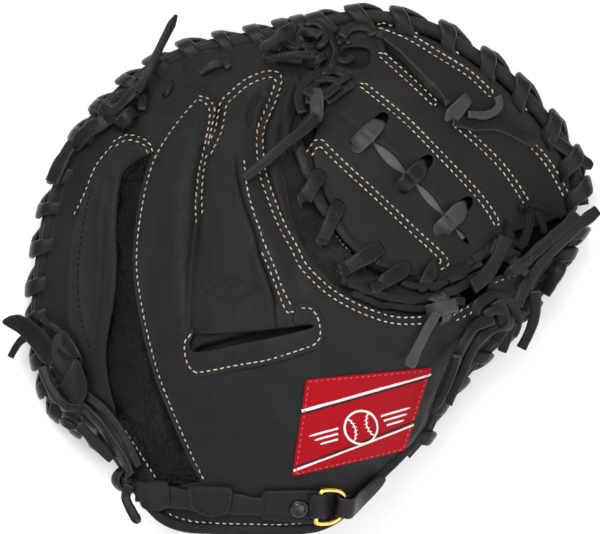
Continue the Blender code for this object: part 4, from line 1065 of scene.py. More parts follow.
def back_panels():
    toe = np.concatenate([beside(curve(RIM, 2.0), 1.2), [(6, 118), (5, 100), (-1, 84), (-7, 68), (-11, 52),
                                                         (-11, 34),
                          (-7, 16), (0, 2), (4, -12), (-10, -30), (-50, -40), (-66, -70), (-74, -92)]])
    sheet_between("toe_leather", toe, toe_top, offset(back, -4.2), SHELL, ("toe_panel",),
                  2.0)
    sheet_between("pinky_stall_leather", PINKY_LOOP, pinky_top, offset(back, -1.8), SHELL,
                  ("pinky_stall",), 1.6, round_by=1.8)
    sheet_between("gusset_leather", curve(GUSSET, 2.0, True), gusset_top, offset(back, -3.4), PEBBLE,
                  ("gusset",), 1.6)
    sheet_between("index_stall_leather", curve(INDEX_STALL, 1.5, True), index_top, offset(back, -3.2), SHELL,
                  ("index_stall",), 1.6)
    sheet_between("hand_back_leather", curve(BACK_LEATHER, 1.3, True), skin, offset(back, -1.9), SHELL,
                  ("hand_back", "ring_stall", "middle_stall", "thumb_back"), 1.5,
                  [curve(WINDOW, 1.2, True)], 1.5)
    sheet_between("middle_tongue", curve(TONGUE, 1.2, True), tongue_top, offset(back, -0.4), SHELL,
                  ("index_band",), 1.4, round_by=1.4)

    def slot_top(p):
        return back(p) + 2.0 + wrinkles(p, 0.5, 61) + groove(p, WINDOW_SEAM, 0.45, 1.2)

    sheet_between("slot_patch", curve(SLOT_PATCH, 1.2, True), slot_top, offset(back, -1.0), SHELL,
                  (), 1.4, round_by=1.1)
    side_top = worn(back, -0.3, 1.4, 71)
    sheet_between("heel_side_leather", curve(HEEL_SIDE, 2.0, True), side_top, offset(back, -3.4), SHELL,
                  ("heel_side",), 1.8)
    seam("ring_stitches", [RING_SEAM, RING_ROW_OUT, RING_ROW_IN], skin, seed=1)
    seam("middle_stitches", both(MIDDLE_SEAM), skin, seed=2)
    seam("thumb_stitches", both(THUMB_SEAM), skin, seed=3)
    seam("slit_stitches", [SLIT_ROW, SLIT_ROW_LOW], skin, seed=4)
    seam("slot_stitches", [WINDOW_SEAM], slot_top, seed=5, long=2.4)
    seam("pinky_stitches", both(PINKY_SEAM[3:], 2.6) + [PINKY_SEAM[:4]], pinky_top, seed=6)
    seam("pinky_ridge_stitches", PINKY_RIDGES, pinky_top, seed=15, thick=0.32, material=BLACK_CLOTH)
    embossing()
    seam("heel_stitches", [[(-87.5, -81), (-80, -92.5), (-71.5, -105.5)]],
         lambda p: np.maximum(side_top(p), gusset_top(p)), seed=7)


def embossing():
    """A plain diamond with a ring in it, raised in the tongue."""
    middle = np.array([-33.0, -12.0])
    wide, high = 0.42, 0.24
    marks = []
    for size in (1.0, 0.8):
        corners = [middle + size * np.array(c) for c in ((-15, -0.5), (-1, 7.5), (14, 2.5), (1, -6.5))]
        marks.append(lay(round_corners(corners, 1.4, 0.8), tongue_top, 0.1, wide, high, seed=180,
                         spacing=0.8))
    turn = np.linspace(0, 2 * math.pi, 20)
    ring_line = middle + np.column_stack([2.6 * np.cos(turn), 0.4 + 2.6 * np.sin(turn)])
    marks.append(lay(ring_line, tongue_top, 0.1, wide, high, seed=181, spacing=0.7))
    laces("embossed_diamond", marks, (), SHELL)


def index_top(p):
    """The index finger's stall, tucked under the back leather where they meet."""
    p = plan(p)
    z = back(p) - 1.6 + bulge(INDEX_STALL, p, 3.4, 6.0) + wrinkles(p, 1.4, 81) + grooves(p, INDEX_GROOVES)
    tucked = smooth((depth_in(curve(BACK_LEATHER, 2.0, True), p) + 1.6) / 2.6)
    return z * (1 - tucked) + np.minimum(z, back(p) - 2.0) * tucked


def palm_side():
    """Palm leather with its padding, and the linings of the hand."""
    def around(room, thumb_rim, inner, heel):
        """An outline that stays inside the rim by the given room."""
        rims = [[tuple(v) for v in beside(curve(line, 9.0), room)] for line in (RIM, thumb_rim)]
        return rims[0] + inner + rims[1] + heel

    loop = around(6.4, THUMB_RIM, PALM_INNER, HEEL_EDGE)
    pad = curve(around(11.4, THUMB_RIM[2:], PAD_INNER, PAD_HEEL), 4.0, True)

    def hand_room(p):
        rise = smooth(distance_to(CAVITY, p) / 22.0)
        spare = np.maximum(back(p) - palm(p) - 18.0, 0.0)
        return np.minimum(26.0, spare) * rise * inside(CAVITY, p)

    def liner_top(p):
        return back(p) - 8.3 - hand_room(p)

    def cushion_top(p):
        low = palm(p) + 3.0
        return low + np.maximum(liner_top(p) - 4.4 - low, 0) * smooth(depth_in(pad, p) / 7.0)

    def pocket(p):
        z = palm(p) + 0.9 * noise(p, 26.0, 91) * smooth(palm(p) / 6.0)
        z -= groove(p, [(-70, -40), (-40, 10), (-10, 40), (20, 60)], 1.2, 6.0)
        z -= groove(p, [(-60, -70), (-20, -40), (30, -30), (70, -30)], 1.0, 5.0)
        return np.maximum(z, 0.0)

    cushion = sheet_between("palm_cushion", curve(loop, 3.0, True), cushion_top, pocket, PALM,
                            ("palm_fingers", "palm_thumb", "padding_fingers", "padding_thumb"), 2.6,
                            round_by=2.0, under_round=2.5, rows=(0.3, 1.0, 2.2))
    sheet_between("hand_lining", curve(LINER, 2.5, True), worn(liner_top, 0.0, 0.8, 95),
                  offset(liner_top, -1.8), CLOTH, ("hand_liner",), 2.6)
    sheet_between("back_lining_soft", curve(BACK_LINING, 2.5, True),
                  worn(back, -5.2, 0.7, 96), worn(back, -7.4, 0.7, 97), CLOTH,
                  ("back_lining", "back_lining_thumb"), 2.8)


# ---------------------------------------------------------------- rolled edges

def edge_profile(wide, high):
    """Section of the layered edge: back leather, a folded binding and the palm leather."""
    return np.array([(-wide - 1.2, high), (0.1 * wide, high + 0.2), (0.5 * wide, 0.93 * high),
                     (0.62 * wide, 0.72 * high),
                     (0.42 * wide, 0.55 * high), (0.75 * wide, 0.47 * high), (0.94 * wide, 0.28 * high),
                     (0.92 * wide, 0.06 * high), (0.6 * wide, -0.05 * high), (0.9 * wide, -0.14 * high),
                     (wide, -0.38 * high), (0.95 * wide, -0.66 * high), (0.72 * wide, -0.9 * high),
                     (0.3 * wide, -high), (-wide - 1.2, -high)])


def rolled(name, line, middle, wide, high, replaced, material=SHELL):
    fine = curve(line, 1.6)[:, :2]
    path = np.column_stack([fine, middle(fine)])
    side = frames(path, level(path))[0]
    shape = edge_profile(wide, high)
    swell = 1 + 0.1 * noise(fine, 9.0, 61)
    verts = (path[:, None] - side[:, None] * (shape[:, 0] * swell[:, None])[..., None]
             + np.array([0, 0, 1.0]) * (shape[:, 1] * (1 + 0.05 * noise(fine, 14.0, 62))[:, None])[..., None])
    faces = tube_faces(len(path), len(shape))
    ridges = np.array([0, 0.2, 0.5, 0.3, 0, 0.3, 0.5, 0.3, 0, 0.3, 0.5, 0.3, 0.3, 0.1, 0])
    return add_piece(name, verts.reshape(-1, 3), faces, material, replaced,
                     np.tile(ridges, len(path)))


WALL_THICK = 1.4


def wall(name, line, levels, material):
    """A standing side of leather along a line: (inward, height) at each level, from the top down."""
    fine = curve(line, 2.2)[:, :2]
    inward = beside(fine, 1.0) - fine
    rows = [(by, height(fine)) for by, height in levels]
    rows += [(by + WALL_THICK, z) for by, z in rows[::-1]]
    verts = np.stack([np.column_stack([fine + inward * np.reshape(by, (-1, 1)), z + wrinkles(fine, 0.5, 201)])
                      for by, z in rows], axis=1).reshape(-1, 3)
    verts = verts + 0.35 * np.column_stack([noise(verts, 7.0, 202 + k) for k in range(3)])
    return add_piece(name, verts, tube_faces(len(fine), len(rows)), material)


def side_walls():
    """The back leather turned down to the laced edge, and the palm leather turned up to it."""
    def share(a, b, t):
        return lambda q: a(q) * (1 - t) + b(q) * t

    def top(q):
        return np.maximum(back(q) - 1.2, rim_middle(q) + 6.2)

    def edge(q):
        return rim_middle(q) + 5.0

    def below(q):
        return rim_middle(q) - 5.0

    def bottom(q):
        return np.minimum(palm(q) + 2.6, rim_middle(q) - 6.2)

    for name, line in (("thumb", THUMB_RIM), ("fingers", RIM)):
        wall(name + "_side_leather", line, [(4.4, top), (2.6, share(top, edge, 0.15)),
                                            (0.9, share(top, edge, 0.5)),
                                            (0.4, share(top, edge, 0.8)), (0.6, edge)], SHELL)
        wall(name + "_palm_turn", line, [(0.8, below), (0.8, share(below, bottom, 0.25)),
                                         (2.0, share(below, bottom, 0.6)),
                                         (4.4, share(below, bottom, 0.9)), (6.6, bottom)], PALM)


def edges():
    rolled("rim_leather", RIM, rim_middle, 4.2, 7.4, ("rim_roll_fingers",))
    rolled("thumb_rim_leather", THUMB_RIM, rim_middle, 4.2, 7.4, ("rim_roll_thumb", "rim_roll_heel"))
    rolled("web_rim_leather", WEB_EDGE, offset(web, -1.2), 2.9, 3.6,
           ("rim_roll_web_fingers", "rim_roll_web_thumb"))
    laces("rim_lacing", [whip(RIM, RIM_BEADS, rim_middle, 7.4, 9.6, 7.0, 1.2, 3.7, 1.6, seed=1)],
          ("rim_lace_fingers",))
    laces("thumb_rim_lacing", [whip(THUMB_RIM, THUMB_BEADS, rim_middle, 6.6, 9.4, 7.0, 1.2, 3.6, 1.6,
                                    seed=2)],
          ("rim_lace_thumb", "rim_lace_heel"))
    laces("web_rim_lacing", [whip(WEB_EDGE, WEB_BEADS, offset(web, -1.2), 6.6, 6.0, 9.5, 2.0, 4.1, 1.8,
                                  seed=3)],
          ("rim_lace_web_fingers", "rim_lace_web_thumb"))
    lip = beside(curve(CROTCH_ROLL, 2.0), 12.0)
    far = beside(curve(CROTCH_ROLL, 2.0), -13.5)
    sheet_between("suede_lip", np.concatenate([lip, far[::-1]]), lip_top, offset(lip_top, -3.0), SUEDE,
                  ("crotch_roll",), 1.6, round_by=1.6)


# ---------------------------------------------------------------- web

def lens(a, b, wide):
    """A thin lens-shaped outline from a to b."""
    a, b = np.array(a, float), np.array(b, float)
    side = unit(np.array([a[1] - b[1], b[0] - a[0]]))
    t = np.linspace(0, 1, 9)
    bow = np.sin(math.pi * t) * wide
    up = a + (b - a) * t[:, None] + side * bow[:, None]
    down = a + (b - a) * t[:, None] - side * bow[:, None]
    return np.concatenate([up, down[-2:0:-1]])


def oval(x, y, a, b, turn_deg, count=14):
    turn = math.radians(turn_deg)
    t = np.arange(count) * 2 * math.pi / count
    u, v = a * np.cos(t), b * np.sin(t)
    return np.column_stack([x + u * math.cos(turn) - v * math.sin(turn),
                            y + u * math.sin(turn) + v * math.cos(turn)])


def bridge_top(p):
    """The leather that joins the toe to the web, gathered into folds by its laces."""
    p = plan(p)
    share = smooth((p[:, 0] + 4) / 22)
    z = (back(p) - 0.6) * (1 - share) + (web(p) + 0.4) * share + wrinkles(p, 1.8, 171)
    z += grooves(p, BRIDGE_GROOVES)
    return z - 5.5 * np.exp(-(np.hypot(p[:, 0] - 28.5, p[:, 1] - 106) / 8.0) ** 4)


BRIDGE = [(-7, 117.5), (2, 120.5), (12, 122), (22, 123), (34, 120.5), (42, 114), (42, 102), (36, 94),
          (26, 90),
          (18, 82), (12, 74), (7, 69), (2, 77), (-2, 90), (-5, 105)]
BRIDGE_LOOP = [(-0.6, 112), (0.8, 118), (5.6, 120.6), (10.6, 119), (12.6, 114.5), (11.5, 110), (7, 108.2),
               (2, 109),
               (-0.6, 112)]
ARCH_LACES = [([(21, 113.5), (24, 117.4), (29, 119), (34, 118), (36.5, 114.5)], 3.4, 2.4, 1.2, 172),
              ([(19, 111), (22.5, 113.6), (24.5, 111)], 1.4, 1.3, 1.0, 173),
              ([(18.5, 104), (22.5, 102.5), (26, 105)], 0.6, 1.6, 1.0, 174)]
LOOP_LACES = [(BRIDGE_LOOP, 3.6, 1.8, 175), ([(1, 116.5), (5, 116.8), (10, 113)], 5.2, 2.2, 176),
              ([(3, 106.5), (7, 104.5), (10, 100), (8, 96)], 3.4, 1.8, 200),
              ([(-11, 116.5), (-7, 110), (-2, 108), (1, 112)], 4.0, 2.0, 177),
              ([(-20, 113), (-14, 109), (-9, 107.5)], 3.2, 2.2, 178),
              ([(13, 121), (15, 114), (17, 107), (15, 99)], 1.6, 2.0, 179)]


def top_bridge():
    sheet_between("bridge_leather", curve(BRIDGE, 1.8, True), bridge_top, offset(lower_face, -5.5), SHELL,
                  (), 1.5, (), 1.4)
    laces("arch_lace", [lay(line, web, lift, wide, high, seed=seed) for line, lift, wide, high,
                        seed in ARCH_LACES])
    laces("top_loop_laces", [lay(line, bridge_top, lift, wide, 1.3, seed=seed)
                             for line, lift, wide, seed in LOOP_LACES])


def flap(name, outline, height, thick=1.4, replaced=(), material=None):
    """A broad folded part of a lace or strap."""
    sheet_between(name, curve(outline, 1.1, True), height, offset(height, -thick), material or CORD,
                  replaced, 1.2, round_by=0.7)


def web_side():
    holes = [lens(a, b, wide) for a, b, wide in WEB_GAPS]
    holes += [oval(x + 6.0, y + 6.6, 4.6, 3.0, 50) for x, y in TEES]
    holes += [curve(ARCH_HOLE, 1.4, True)]
    sheet_between("web_leather", curve(WEB_LEATHER, 1.4, True), web_top, offset(web, -3.4), SHELL,
                  ("web_upper_fingers", "web_upper_thumb", "web_lower"), 1.5, holes, 1.4)
    # The two backing sheets lie deep under the web's holes; their dark colour is painted shade.
    for name, outline, base, depth in (("web_backing", WEB_BACKING, web, 6.5),
                                       ("crotch_backing", CROTCH_BACKING, lower_face, 13.5)):
        sheet_between(name, curve(outline, 2.0, True), offset(base, -depth), offset(base, -depth - 1.5), PAINTED_SHADE_LINING,
                      (), 2.4)
    # The tie under the web's gaps is pale grey, painted light standing in for the backdrop seen through them.
    laces("web_tie", [lay([(24, 75), (38, 61.5), (54, 46), (72, 26), (82, 14)], web, -2.3, 2.9, 0.8, seed=5)],
          ("web_tie_lace",), TIE)
    # The first and third T laces take the paler lace copy, partly painted light; the middle one takes the
    # plain lace.
    for number, ((x, y), cord) in enumerate(zip(TEES, (PALE_AND_LIT_LACE, CORD, PALE_AND_LIT_LACE))):
        ends = [(x - 7.4, y - 7.2), (x + 5.4, y + 5.6)]
        laces(f"tee_{number + 1}", [bead(ends, web_top, 3.4, 4.4, 20 + number, 3.6, 1.5, 0.42)],
              (f"web_tee_{number + 1}",), cord)
    rows = [double_seam(row, 3.0) for row in WEB_ROWS] + both(WEB_CORNER, 3.2)
    seam("web_stitches", rows, web_top, seed=8)
    laces("web_straps", [
        lay([(39, 116.5), (52, 104.5), (65, 91), (74, 81)], web_top, 1.0, 2.2, 1.0, seed=31),
        lay([(76, 73.5), (87, 71), (98, 71), (110, 66), (118, 62)], web_top, 0.6, 3.4, 1.2, seed=32),
        lay([(124, 65), (134, 58), (145, 50)], web_top, 2.6, 3.0, 1.1, ([0, 0.9, 1], [1, 1, 0.6]), 33)])
    # The web knot's laces use the paler lace copy, partly painted light.
    laces("web_knot_laces", [
        lay([(83, 75.5), (92, 75.3), (98.5, 79.5), (98, 84.5)], web_top, 2.6, 2.0, 1.2, seed=34),
        bead([(74.5, 74), (84, 84.5)], web_top, 3.6, 3.8, 35, 2.0)], ("web_knot",), PALE_AND_LIT_LACE)


def lower_web_lacing():
    """Flat laces that come from under the suede lip over the lower edge of the web into its slits."""
    def rest(p):
        return np.maximum(web_top(p), lip_top(p))
    # The lower binding uses the darker lace copy: painted shade under the web's lower edge.
    rolled("web_lower_binding", WEB_LOWER_EDGE, offset(web, -2.4), 1.8, 2.4, ("rim_roll_web_lower",),
           PAINTED_SHADE_LACE)
    parts = [lay([(-1.5, 62), (1.0, 54), (3.8, 46.5), (8, 41)], rest, 1.0, 2.5, 1.0, seed=41),
             bead([(0.8, 31.5), (10.5, 47.5)], rest, 4.2, 4.0, 42),
             lay([(6.0, 38), (9.0, 33), (13.5, 26)], rest, 1.0, 2.5, 1.0, seed=43),
             bead([(10, 10.5), (19.5, 32.5)], rest, 4.0, 3.8, 44),
             lay([(16.0, 25), (22, 16), (30, 8.5), (38, 4)], rest, 1.0, 2.6, 1.0, seed=45),
             bead([(19, -3), (40.5, 10.0)], rest, 4.2, 4.0, 46),
             lay([(38, 3), (46, 0), (54, -2)], rest, 0.9, 2.3, 0.9, seed=47),
             bead([(34, -12), (54.5, 0.5)], rest, 4.0, 3.9, 48),
             bead([(60, -11), (68, 2)], rest, 3.4, 3.2, 49)]
    laces("web_lower_lacing", parts, ("rim_lace_web_lower",))
    seam("lip_stitches", [[(17.5, 16), (22, 10.5), (28, 5.5)], [(34, 0.5), (37.5, -1.8), (40.5, -3.5)]],
         lip_top,
         seed=9, pitch=2.4, long=1.6)
    folds = [lay([(20, -7), (38, -14.5), (58, -17), (76, -12), (90, -3)], lip_top, 1.4, 2.4, 1.2, seed=50),
             lay([(26, -14), (44, -20.5), (62, -22), (80, -17.5)], lip_top, 2.4, 2.0, 1.2, seed=51),
             lay([(46, -3.5), (58, -6.5), (72, -5.5), (84, 1)], lip_top, 2.2, 2.2, 1.2, seed=52),
             lay([(50, -10), (62, -12), (76, -7), (88, 4), (96, 9)], lip_top, 3.0, 2.4, 1.2, seed=53)]
    laces("lip_folds", folds, material=SHELL)


# ---------------------------------------------------------------- wrist, ring and patch

RING_AT = np.array([9.0, -119.0, 88.6])
RING_OUT = np.array([1.0, 0.0, -0.62]) / math.hypot(1.0, 0.62)
BAR_WAY = np.array([0.0, 1.0, 0.40])
RING_ALONG = unit(BAR_WAY - RING_OUT * BAR_WAY.dot(RING_OUT))
RING_UP = np.cross(RING_OUT, RING_ALONG)


def round_corners(corners, radius, spacing=1.0):
    """A closed outline through corners with rounded turns."""
    made = []
    count = len(corners)
    for i in range(count):
        a, b, c = (np.array(corners[(i + k - 1) % count], float) for k in range(3))
        into, out = unit(b - a), unit(c - b)
        start, end = b - into * radius, b + out * radius
        for t in np.linspace(0, 1, max(3, round(radius / spacing * 1.6))):
            made.append((1 - t) ** 2 * start + 2 * t * (1 - t) * b + t * t * end)
        gap = c - out * radius - end
        steps = max(1, round(np.linalg.norm(gap) / spacing))
        made += [end + gap * k / steps for k in range(1, steps)]
    return np.array(made)


def arch(base, low, high, lift, rise, across):
    """A surface that arches over base between low and high along one plan axis."""
    def height(q):
        q = plan(q)
        share = np.clip((q[:, across] - low) / (high - low), 0, 1)
        return base(q) + lift + rise * np.sin(math.pi * share) ** 0.6 + 0.25 * noise(q, 5.0, 71)
    return height


def wrist():
    edge = curve(WRIST_EDGE, 1.2)[:, :2]
    path = np.column_stack([edge, back(edge) - 1.6])
    verts, faces, wear = ribbon(path, level(path), 2.7, 3.3, seed=61, uneven=0.05)
    add_piece("wrist_edge_binding", verts, faces, SHELL, ("wrist_binding",), wear * 0.5)
    seam("wrist_stitches", [[(-66, -122.5), (-56, -126), (-42, -127.2), (-24, -127.6), (-9, -127.8),
                             (5, -126.6)]],
         offset(back, 1.0), seed=11)
    strap = lay([(-79, -112), (-70, -113.5), (-58, -115), (-45, -116), (-30, -117), (-14, -118.5)], back, 2.9,
                5.2, 1.1, seed=62)
    laces("wrist_strap_leather", [strap], ("wrist_strap",), SHELL)
    side = round_corners([(-79.5, -107), (-80, -120), (-72, -123), (-64.5, -119.5), (-65.5, -106)], 3.0)
    loop = arch(back, -122.5, -105.5, 2.0, 4.6, 1)
    sheet_between("side_loop", side, loop, offset(loop, -1.7), SHELL, ("strap_loop_side",),
                  1.3,
                  round_by=0.9)
    shield = round_corners([(-56, -108.5), (-54.5, -120), (-46, -125), (-35, -122.5), (-33, -109)], 3.5)
    loop = arch(back, -125.5, -107.5, 2.0, 4.8, 1)
    sheet_between("middle_loop", shield, loop, offset(loop, -1.7), SHELL,
                  ("strap_loop_middle",), 1.3, round_by=0.9)
    seam("loop_stitches", [[(-53, -110.5), (-52, -119), (-45.5, -122.8), (-37, -120.5), (-35.6, -111)]],
         offset(loop, 0.1), seed=12, material=BLACK_CLOTH)
    tab = round_corners([(-19, -111), (-20, -125.5), (8, -128), (14.5, -126), (14.5, -112.5), (6, -110.5)],
                        3.2)

    def tab_top(p):
        """The tab's face, pressed in around its snap."""
        return back(p) + 4.2 + wrinkles(p, 0.4,
                                        73) - 0.9 * np.exp(-(np.hypot(p[:, 0], p[:, 1] + 120.3) / 5.5) ** 4)

    sheet_between("ring_tab", tab, tab_top, offset(back, 1.0), SHELL, ("buckle_tab",), 1.2,
                  round_by=1.3)
    seam("tab_stitches", [inset(tab, 2.0)], tab_top, seed=13, pitch=2.4, long=1.5, thick=0.3,
         material=BLACK_CLOTH)
    snap_cap()
    keeper = arch(back, 4.0, 13.8, 4.4, 4.6, 0)
    sheet_between("ring_keeper_leather", round_corners([(4, -125), (13.8, -125), (13.8, -113), (4, -113)],
                                                       1.6),
                  keeper,
                  offset(keeper, -1.6), SHELL, ("ring_keeper",), 1.1, round_by=0.8)
    ring()
    strap_end()


SNAP_AT = (-0.6, -120.0)
SNAP_PROFILE = [(1.6, 1.7), (2.7, 1.45), (3.3, 1.0), (3.55, 0.7), (3.8, 1.15), (4.2, 1.25), (4.6, 1.0),
                (4.75, 0.5),
                (4.75, -0.4)]           # radius and height, from the middle outwards
SNAP_TOP = 1.75
SNAP_SIDES = 40


def snap_cap():
    """The pressed cap of the snap, turned about the leather's own normal."""
    at = np.array(SNAP_AT)
    up = normals(back, [at])[0]
    base = np.array([*at, back([at])[0] + 3.7])
    first = unit(np.cross(up, [0, 1, 0.0]))
    second = np.cross(up, first)
    turns = [2 * math.pi * k / SNAP_SIDES for k in range(SNAP_SIDES)]
    verts = [base + up * SNAP_TOP]
    for r, h in SNAP_PROFILE:
        verts += [base + first * r * math.cos(a) + second * r * math.sin(a) + up * h for a in turns]
    faces = [(0, 1 + k, 1 + (k + 1) % SNAP_SIDES) for k in range(SNAP_SIDES)]
    for i in range(len(SNAP_PROFILE) - 1):
        for k in range(SNAP_SIDES):
            a, b = 1 + i * SNAP_SIDES + k, 1 + i * SNAP_SIDES + (k + 1) % SNAP_SIDES
            faces.append((a, a + SNAP_SIDES, b + SNAP_SIDES, b))
    faces.append(tuple(reversed(range(len(verts) - SNAP_SIDES, len(verts)))))
    add_piece("snap_cap", verts, faces, SNAP, ("tab_rivet",))


def ring():
    """The D-ring as drawn wire, its bar under the keeper."""
    bar, reach, wire = 8.8, 15.5, 1.25
    outline = [(0, -bar + 2), (0, -bar / 2), (0, 0), (0, bar / 2), (0, bar - 2), (0.5, bar - 0.6), (3, bar)]
    for k in range(1, 24):
        a = math.pi / 2 - math.pi * k / 24
        outline.append((3 + (reach - 3) * math.cos(a) ** 0.6, bar * math.sin(a)))
    outline += [(3, -bar), (0.5, -bar + 0.6)]
    line = curve([(x, y, 0) for x, y in outline], 0.7, True)[:, :2]
    ahead = unit(np.roll(line, -1, axis=0) - np.roll(line, 1, axis=0))
    sides = 14
    verts, faces = [], []
    for (x, y), (u, v) in zip(line, ahead):
        for k in range(sides):
            a = 2 * math.pi * k / sides
            verts.append(RING_AT + RING_OUT * (x + v * wire * math.cos(a))
                         + RING_ALONG * (y - u * wire * math.cos(a))
                         + RING_UP * wire * math.sin(a))
    count = len(line)
    for i in range(count):
        j = (i + 1) % count
        for k in range(sides):
            n = (k + 1) % sides
            faces.append((i * sides + n, i * sides + k, j * sides + k, j * sides + n))
    add_piece("gold_d_ring", verts, faces, BRASS, ("buckle_ring",), body="ring")


def strap_end():
    fold = [(19, -2.8), (17, -2.8), (14, -2.8), (11.6, -1.6), (11.0, 0.2), (11.6, 2.0), (14, 2.9), (18, 3.1)]
    marks = [tuple(RING_AT + RING_OUT * u + RING_UP * n) for u, n in fold]
    marks += [(x, y, back([(x, y)])[0] + 5.2) for x, y in ((30, -116), (36, -110.5), (42, -105))]
    path = curve(marks, 0.9)
    ups = np.cross(RING_ALONG, np.gradient(path, axis=0))
    taper = ([0, 0.55, 0.85, 0.96, 1], [1.25, 1.35, 0.95, 0.6, 0.35])
    laces("strap_tip", [ribbon(path, ups, 4.0, 0.95, taper, 63)], ("strap_end",), body="strap")


WHITE_BANDS = [([(0.75, -71.3), (65.2, -53.6)], 0.72), ([(-3.3, -101.0), (56.6, -78.7)], 0.6)]
BLACK_BANDS = [[(0.6, -72.8), (64.8, -55.1)], [(-3.2, -99.5), (57, -77.1)]]
BALL_AT = np.array([30.2, -79.5])
BALL = 8.2               # radius of the ball sign
SPEED_LINES = [(11.0, 15, 2.6), (11.8, 12, 0.0), (12.6, 9, -2.6)]   # start, length and shift


def patch():
    """The sewn cloth patch with plain stripes and a generic ball sign."""
    top = offset(skin, 1.15)
    sheet_between("cloth_patch", round_corners(LABEL, 1.2, 1.6), top, offset(skin, -0.4), RED,
                  ("label",), 1.6, round_by=0.6, edge_wear=0.0, body="fingers")
    corners = np.array(LABEL, float)
    inner = corners + (corners.mean(0) - corners) * 0.055
    seam("patch_stitches", [round_corners(inner, 1.0)], top, seed=14, pitch=2.9, long=1.9, thick=0.34,
         material=RED_THREAD, body="fingers")
    white = [lay(line, top, 0.12, half, 0.22, seed=70) for line, half in WHITE_BANDS]
    black = [lay(line, top, 0.12, 0.42, 0.22, seed=70) for line in BLACK_BANDS]
    tilt = math.atan2(17.7, 64.5)       # slant of the two bands
    turn = np.array([[math.cos(tilt), -math.sin(tilt)], [math.sin(tilt), math.cos(tilt)]])
    t = np.linspace(0, 2 * math.pi, 40)
    circle = BALL_AT + BALL * np.column_stack([np.cos(t), np.sin(t)])
    white.append(lay(circle, top, 0.14, 0.6, 0.24, seed=71, spacing=0.8))
    for sign in (-1, 1):
        bow = np.linspace(-0.95, 0.95, 15)
        arc = np.column_stack([sign * (9.6 - 6.6 * np.cos(bow)), 8.4 * np.sin(bow) * 0.93]) @ turn.T
        arc = arc[np.hypot(arc[:, 0], arc[:, 1]) < BALL - 0.2]
        white.append(lay(BALL_AT + arc, top, 0.14, 0.34, 0.2, seed=72, spacing=0.8))
        for q in arc[1:-1:2]:
            aim = (turn @ np.array([1.0, 0.35 * sign * np.sign(q @ turn[:, 1])])) * 1.1
            white.append(lay([BALL_AT + q - aim, BALL_AT + q + aim], top, 0.15, 0.2, 0.18, seed=73,
                             spacing=0.6))
        for start, long, shift in SPEED_LINES:
            bar = np.array([[sign * start, shift], [sign * (start + long), shift]]) @ turn.T
            white.append(lay(BALL_AT + bar, top, 0.13, 0.62, 0.22, ([0, 0.8, 1], [1, 0.8, 0.3]), 74))
    laces("patch_white_threads", white, (), WHITE, "fingers")
    laces("patch_black_threads", black, (), BLACK_CLOTH, "fingers")


# ---------------------------------------------------------------- laces, knots and tails

POINTED = ([0, 0.86, 1], [1, 1, 0.45])


INDEX_LACES = [([(1, 75), (-0.5, 82), (2, 89), (8, 94.5), (17, 96.5), (25, 93.5)], 3.2, 2.5, 109),
               ([(4, 79), (5, 86), (12, 91), (20, 91), (25, 95)], 4.2, 1.7, 116),
               ([(13, 81), (19, 85.5), (25.5, 90)], 2.6, 2.2, 197),
               ([(2, 85), (8, 82), (14, 84), (18, 88)], 5.6, 2.4, 198),
               ([(5, 73.5), (0.5, 68), (-2.5, 62.5)], 2.4, 2.0, 114)]


def toe_laces():
    band = lay([(-122.5, 42), (-117.5, 53), (-109.5, 63.5), (-99, 71.5), (-88, 77.5)], toe_top, 3.4, 3.9, 1.2,
               seed=101)
    parts = [band, *knot(-86, 74.5, toe_top, 7.5, 6.5, 40, 102),
             lay([(-78.5, 93), (-81, 87), (-86, 80.5), (-92, 77), (-97, 80)], toe_top, 5.2, 2.6, 1.1,
                 seed=195),
             lay([(-90, 84), (-84, 86), (-79, 83), (-78, 77)], toe_top, 3.6, 2.2, 1.1, seed=196),
             bead([(-68, 85), (-64, 92.5)], toe_top, 2.2, 1.6, 197),
             lay([(-49.5, 96), (-45, 100), (-39.5, 101.5), (-35, 98.5)], toe_top, 2.4, 1.9, 1.0, seed=103),
             lay([(-18, 103.5), (-9, 102.5), (1, 101)], toe_top, 3.6, 1.7, 1.0, seed=104),
             lay([(-104, 78), (-97, 76), (-90, 79)], toe_top, 3.0, 2.4, 1.1, seed=105)]
    laces("toe_laces", parts)
    laces("tip_laces", [hang([(-3, 120, 50), (-8, 117, 54), (-14, 112, 55), (-20, 109, 55)], 2.8, 1.1,
                             POINTED,
                             106),
                        hang([(6, 105.5, 58), (-1, 106, 60), (-8, 105, 59), (-16, 103.2, 56.5)], 1.9, 1.1,
                             None,
                             107),
                        *knot(7, 102, bridge_top, 6.5, 4.6, 30, 108)], ("tip_tail_upper",))

    def gathered(p):
        return np.maximum(bridge_top(p), web(p)) - 0.8

    laces("index_laces", [*[lay(line, gathered, lift, wide, 1.3, seed=seed) for line, lift, wide,
                            seed in INDEX_LACES],
                          hang([(8, 76, 76), (3, 69, 79), (-7, 61.5, 82.5), (-17, 52.5, 85), (-27.5, 44, 87)],
                               2.6, 1.1,
                               ([0, 0.9, 1], [1, 1, 0.75]), 110)], ("index_knot",))
    # The index front lace uses the paler lace copy, partly painted light.
    laces("index_front_lace", [bead([(8.6, 88.5), (8.2, 73)], gathered, 8.5, 3.3, 199, -3.0, 1.5)], (), PALE_AND_LIT_LACE)
    tail = [(-81, 88, 45), (-76, 97, 45.5), (-70, 110, 42), (-62, 126, 37)]
    path = curve(tail, 1.2)
    verts, faces, wear = ribbon(path, level(path), 2.1, 1.5, POINTED, 113, uneven=0.05)
    piece = add_piece("rim_lace_tail", verts, faces, CORD, ("rim_tail",), wear)


LOBE = [(-118, -31.5), (-113.6, -36.5), (-109.6, -43.5), (-108.8, -49), (-112, -55), (-118, -57),
        (-123.8, -53),
        (-126.2, -46), (-125.2, -39), (-122, -33.5)]
LOBE_LOOP = curve(LOBE, 1.5, True)


